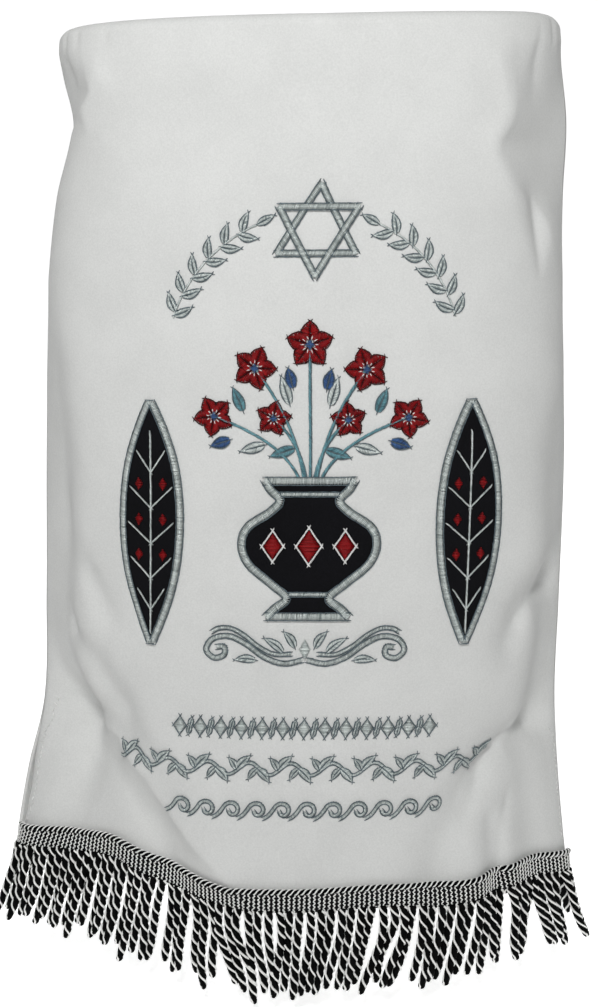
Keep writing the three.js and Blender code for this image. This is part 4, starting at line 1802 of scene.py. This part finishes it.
    def loop(self, path: Array, beside: Array, outward: Array, radius: float, turn: float, phase: float) -> Array:
        """Run down one helix about a cord's middle line, round its tip and up the opposite one.

        Args:
            path: The middle line.
            beside: Direction sideways.
            outward: Direction outwards.
            radius: Radius of the helix.
            turn: Twist along the whole cord, in radians.
            phase: Where it starts.

        Returns:
            Points of the looped strand.
        """
        t = np.linspace(0, 1, len(path))
        close = radius * (1 - self.tip_close * smooth(t, 0.9, 1.0))[:, None]
        way = (path[-1] - path[-2]) / np.linalg.norm(path[-1] - path[-2])
        legs = []
        for half in (0, math.pi):
            angle = (phase + half + turn * t)[:, None]
            legs.append(path + close * (np.cos(angle) * beside + np.sin(angle) * outward))
        centre, arm = (legs[0][-1] + legs[1][-1]) / 2, (legs[0][-1] - legs[1][-1]) / 2
        bend = np.radians((36, 72, 108, 144))[:, None]
        tip = centre + arm * np.cos(bend) + way * np.linalg.norm(arm) * self.tip_length * np.sin(bend)
        return np.concatenate([legs[0], tip, legs[1][::-1]])

    def hanging(self) -> tuple[Piece, Piece]:
        """Twisted cords and the silver threads that lie in their grooves.

        Returns:
            The cords and their threads.
        """
        plies, threads = Strands(6), Strands(4)
        for path, beside, outward in self.cord_paths():
            turn = 2 * math.pi * float(np.linalg.norm(np.diff(path, axis=0), axis=1).sum()) / self.twist
            turn *= self.random.uniform(*self.twist_span)
            phase = self.random.uniform(0, 2 * math.pi)
            shade = float(self.random.uniform(0.25, 0.75))
            plies.add(self.loop(path, beside, outward, self.ply_turn, turn, phase), self.ply_radius, shade)
            plies.add(path[::3], self.core_radius, shade * 0.5)
            groove = self.loop(path, beside, outward, self.thread_turn, turn, phase + math.pi / 2)
            threads.add(groove, self.thread_radius, shade + 0.15)
        name = self.side.value
        return plies.build(f"{name}_fringe_cords"), threads.build(f"{name}_fringe_cord_threads")

    def edging(self) -> tuple[Piece, Piece]:
        """Corded upper edge of the heading, and the silver ribs down its face.

        Returns:
            The edge cord and the heading's threads.
        """
        plies, threads = Strands(6), Strands(4)
        end = self.run[-1] - self.end_margin
        run = np.arange(1.0 + self.end_margin, end - 1.0, 1.0)
        across = self.across_run(run)
        middle = self.off(across, self.edge_below, self.edge_lift)
        outward = self.cloth.normal(self.side, across, self.cloth.heading_drop(self.side, across))
        up = unit(np.cross(np.gradient(middle, axis=0), outward))
        angle = run * 2 * math.pi / self.edge_twist
        for half in (0.0, math.pi):
            for strands, phase, turn, radius, shade in (
                (plies, 0.0, 0.9, 0.95, 0.5),
                (threads, math.pi / 2, 1.6, 0.52, 0.8),
            ):
                at = (angle + half + phase)[:, None]
                strands.add(middle + (np.cos(at) * up + np.sin(at) * outward) * turn, radius, shade)
        below = np.linspace(2.6, self.cloth.heading + 0.4, 22)
        wave = below * 2 * math.pi / self.rib_wave
        for k, at in enumerate(np.arange(2.0 + self.end_margin, end - 1.5, self.rib_pitch)):
            swing = self.across_run(at + self.rib_swing * np.sin(wave + (k % 2) * math.pi))
            lift = self.heading_lift + 0.3 + 0.18 * np.cos(wave)
            threads.add(self.off(swing, below, lift), self.rib_radius, float(self.random.uniform(0.45, 0.85)))
        name = self.side.value
        return plies.build(f"{name}_fringe_edge_cord"), threads.build(f"{name}_fringe_heading_threads")

    def build(self, tape: Material, black: Material, silver: Material) -> None:
        """Make every piece of the fringe and dress it.

        Args:
            tape: Material of the heading.
            black: Material of the cords.
            silver: Material of the threads.
        """
        heading = self.heading(tape)
        cords, cord_threads = self.hanging()
        edge, heading_threads = self.edging()
        for piece in (cords, edge):
            dress(piece, black)
        for piece in (cord_threads, heading_threads):
            dress(piece, silver)
        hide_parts(f"{self.side.value}_fringe")


# Studio


@dataclass
class Studio:
    """Pale floor and backdrop with a glow of their own, lights and the camera, in metres.

    The span of a glow is where it starts and where it stops to change.
    """

    floor_height: float = -0.612
    floor_front: float = -6.0
    floor_half: float = 7.0
    bend_start: float = 2.5
    bend_radius: float = 1.5
    backdrop: float = 6.0
    level_rows: int = 30
    bend_rows: int = 16
    columns: int = 8
    back_span: Pair = (-0.28, -0.05)
    back_glow: float = 0.76
    pool_slant: float = 0.043
    pool_start: float = 1.0  # the pool widens from a point this far in front of the cover
    pool_span: Pair = (0.21, 0.46)
    side_glow: float = 0.32
    far_span: Pair = (0.55, 1.6)
    far_glow: Pair = (0.07, 0.45)
    haze_span: Pair = (0.04, 0.36)
    haze_glow: Pair = (0.45, 0.02)
    lamp_target: Point = (0, 0, -0.28)
    key_cone: float = 38.0
    key_blend: float = 0.6
    camera_place: Point = (0.03490, -0.99939, -0.097)
    camera_target: Point = (-0.004677, -0.070, -0.280734)
    camera_roll: float = -0.4
    lens: float = 55.44
    sensor: float = 36.0

    def build(self) -> None:
        """Set everything that isn't part of the object."""
        self.floor()
        self.lights()
        self.surround()
        self.camera()
        bpy.context.scene.view_settings.view_transform = "Standard"

    def floor(self) -> None:
        """Pale floor that curves up into a backdrop, with a painted glow."""
        bend = np.linspace(0, math.pi / 2, self.bend_rows)[1:]
        level = np.linspace(self.floor_front, self.bend_start, self.level_rows)
        wall = self.bend_start + self.bend_radius
        depth = np.concatenate([level, self.bend_start + self.bend_radius * np.sin(bend), [wall]])
        rise = np.concatenate([np.zeros(self.level_rows), self.bend_radius * (1 - np.cos(bend)), [self.backdrop]])
        x = np.linspace(-self.floor_half, self.floor_half, self.columns)
        piece = grid("floor", np.array([[(a, y, self.floor_height + z) for a in x] for y, z in zip(depth, rise)]))
        smooth_shading(piece)
        material, tree, shader = new_material(
            "matt_white_paper_painted_glow",
            {"Base Color": linear("#F4F4F4"), "Roughness": 1.0, "Emission Color": linear("#FFFFFF")},
        )
        tree.links.new(self.glow(tree), shader.inputs["Emission Strength"])
        piece.data.materials.append(material)

    def glow(self, tree: Tree) -> Socket:
        """Strength of the floor's painted glow: a painted pool of light behind the cover, dim in front of it, paler
        far away.

        Args:
            tree: Node tree of the floor's material.

        Returns:
            The strength.
        """
        place = add_node(tree, "ShaderNodeTexCoord").outputs["Object"]
        spot = add_node(tree, "ShaderNodeSeparateXYZ", {"Vector": place}).outputs
        behind = ranged(tree, spot["Y"], self.back_span, (0.0, self.back_glow), "SMOOTHSTEP")
        off_axis = computed(tree, "MULTIPLY_ADD", spot["Y"], self.pool_slant, spot["X"])
        wide = computed(tree, "ADD", spot["Y"], self.pool_start)
        aside = computed(tree, "ABSOLUTE", computed(tree, "DIVIDE", off_axis, wide))
        pool = ranged(tree, aside, self.pool_span, (1.0, self.side_glow), "SMOOTHSTEP")
        away = add_node(tree, "ShaderNodeVectorMath", {0: place}, operation="LENGTH").outputs["Value"]
        far = ranged(tree, away, self.far_span, self.far_glow, "SMOOTHSTEP")
        return computed(tree, "MAXIMUM", computed(tree, "MULTIPLY", behind, pool), far)

    def lights(self) -> None:
        """Key spot from the front and above, and two weak discs behind and overhead."""
        target = Vector(self.lamp_target)
        for name, kind, place, size, power in (
            ("key", "SPOT", (-0.08, -1.45, 0.74), 0.2, 80.0),
            ("rear", "AREA", (0.4, 2.0, 0.8), 1.0, 9.0),
            ("top", "AREA", (-0.2, 0.3, 2.0), 1.2, 5.0),
        ):
            light = bpy.data.lights.new(name, kind)
            light.energy = power
            if kind == "SPOT":
                light.shadow_soft_size = size
                light.spot_size, light.spot_blend = math.radians(self.key_cone), self.key_blend
            else:
                light.shape, light.size = "DISK", size
            lamp = linked(name, light)
            lamp.location = place
            lamp.rotation_euler = (target - Vector(place)).to_track_quat("-Z", "Y").to_euler()

    def surround(self) -> None:
        """World that is pale at the horizon and dark overhead."""
        world = bpy.data.worlds.new("surround")
        world.use_nodes = True
        tree = world.node_tree
        sky = tree.nodes["Background"]
        sky.inputs["Color"].default_value = linear("#FFFFFF")
        way = add_node(tree, "ShaderNodeTexCoord").outputs["Generated"]
        height = add_node(tree, "ShaderNodeSeparateXYZ", {"Vector": way}).outputs["Z"]
        haze = ranged(tree, computed(tree, "ABSOLUTE", height), self.haze_span, self.haze_glow)
        tree.links.new(haze, sky.inputs["Strength"])
        bpy.context.scene.world = world

    def camera(self) -> None:
        """Camera a metre in front, a little above the middle and turned down."""
        camera = bpy.data.cameras.new("camera")
        camera.lens, camera.sensor_width = self.lens, self.sensor
        eye = linked("camera", camera)
        way = Vector(self.camera_target) - Vector(self.camera_place)
        turn = way.to_track_quat("-Z", "Y").to_matrix().to_4x4()
        roll = Matrix.Rotation(math.radians(self.camera_roll), 4, "Z")
        eye.matrix_world = Matrix.Translation(self.camera_place) @ turn @ roll
        bpy.context.scene.camera = eye


def main() -> None:
    """Build the cover piece by piece."""
    logging.basicConfig(level=logging.INFO, format="%(message)s")
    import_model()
    deselect()
    cloth = Cloth()
    white, black = WHITE_VELVET.make(), BLACK_VELVET.make()
    tape, cord, silver = BLACK_TAPE.make(), BLACK_CORD.make(), SILVER_CORD.make()
    front = Panel(cloth, Side.FRONT, columns=150, wall_rows=188).build(white)
    back = Panel(cloth, Side.BACK, columns=130, wall_rows=150).build(white)
    top = TopPanel(cloth).build(white)
    for node, shape, offset in (
        ("urn_patch", URN, 0.0),
        ("left_leaf_patch", LEAF, -LEAF_OFFSET),
        ("right_leaf_patch", LEAF, LEAF_OFFSET),
    ):
        Patch(cloth, node, shape, offset).build(black, front)
    flosses = (SILVER_FLOSS, WHITE_FLOSS, RED_FLOSS, WINE_FLOSS, TEAL_FLOSS, BLUE_FLOSS, DARK_EDGE_SHADE_FLOSS)
    threads = {thread: floss.make() for thread, floss in zip(Thread, flosses)}
    stitched = Embroidery(Needlework(cloth)).build(threads)
    Fringe(cloth, Side.FRONT, packed=21).build(tape, cord, silver)
    Fringe(cloth, Side.BACK, end_margin=13.0).build(tape, cord, silver)
    Studio().build()


if __name__ == "__main__":
    main()
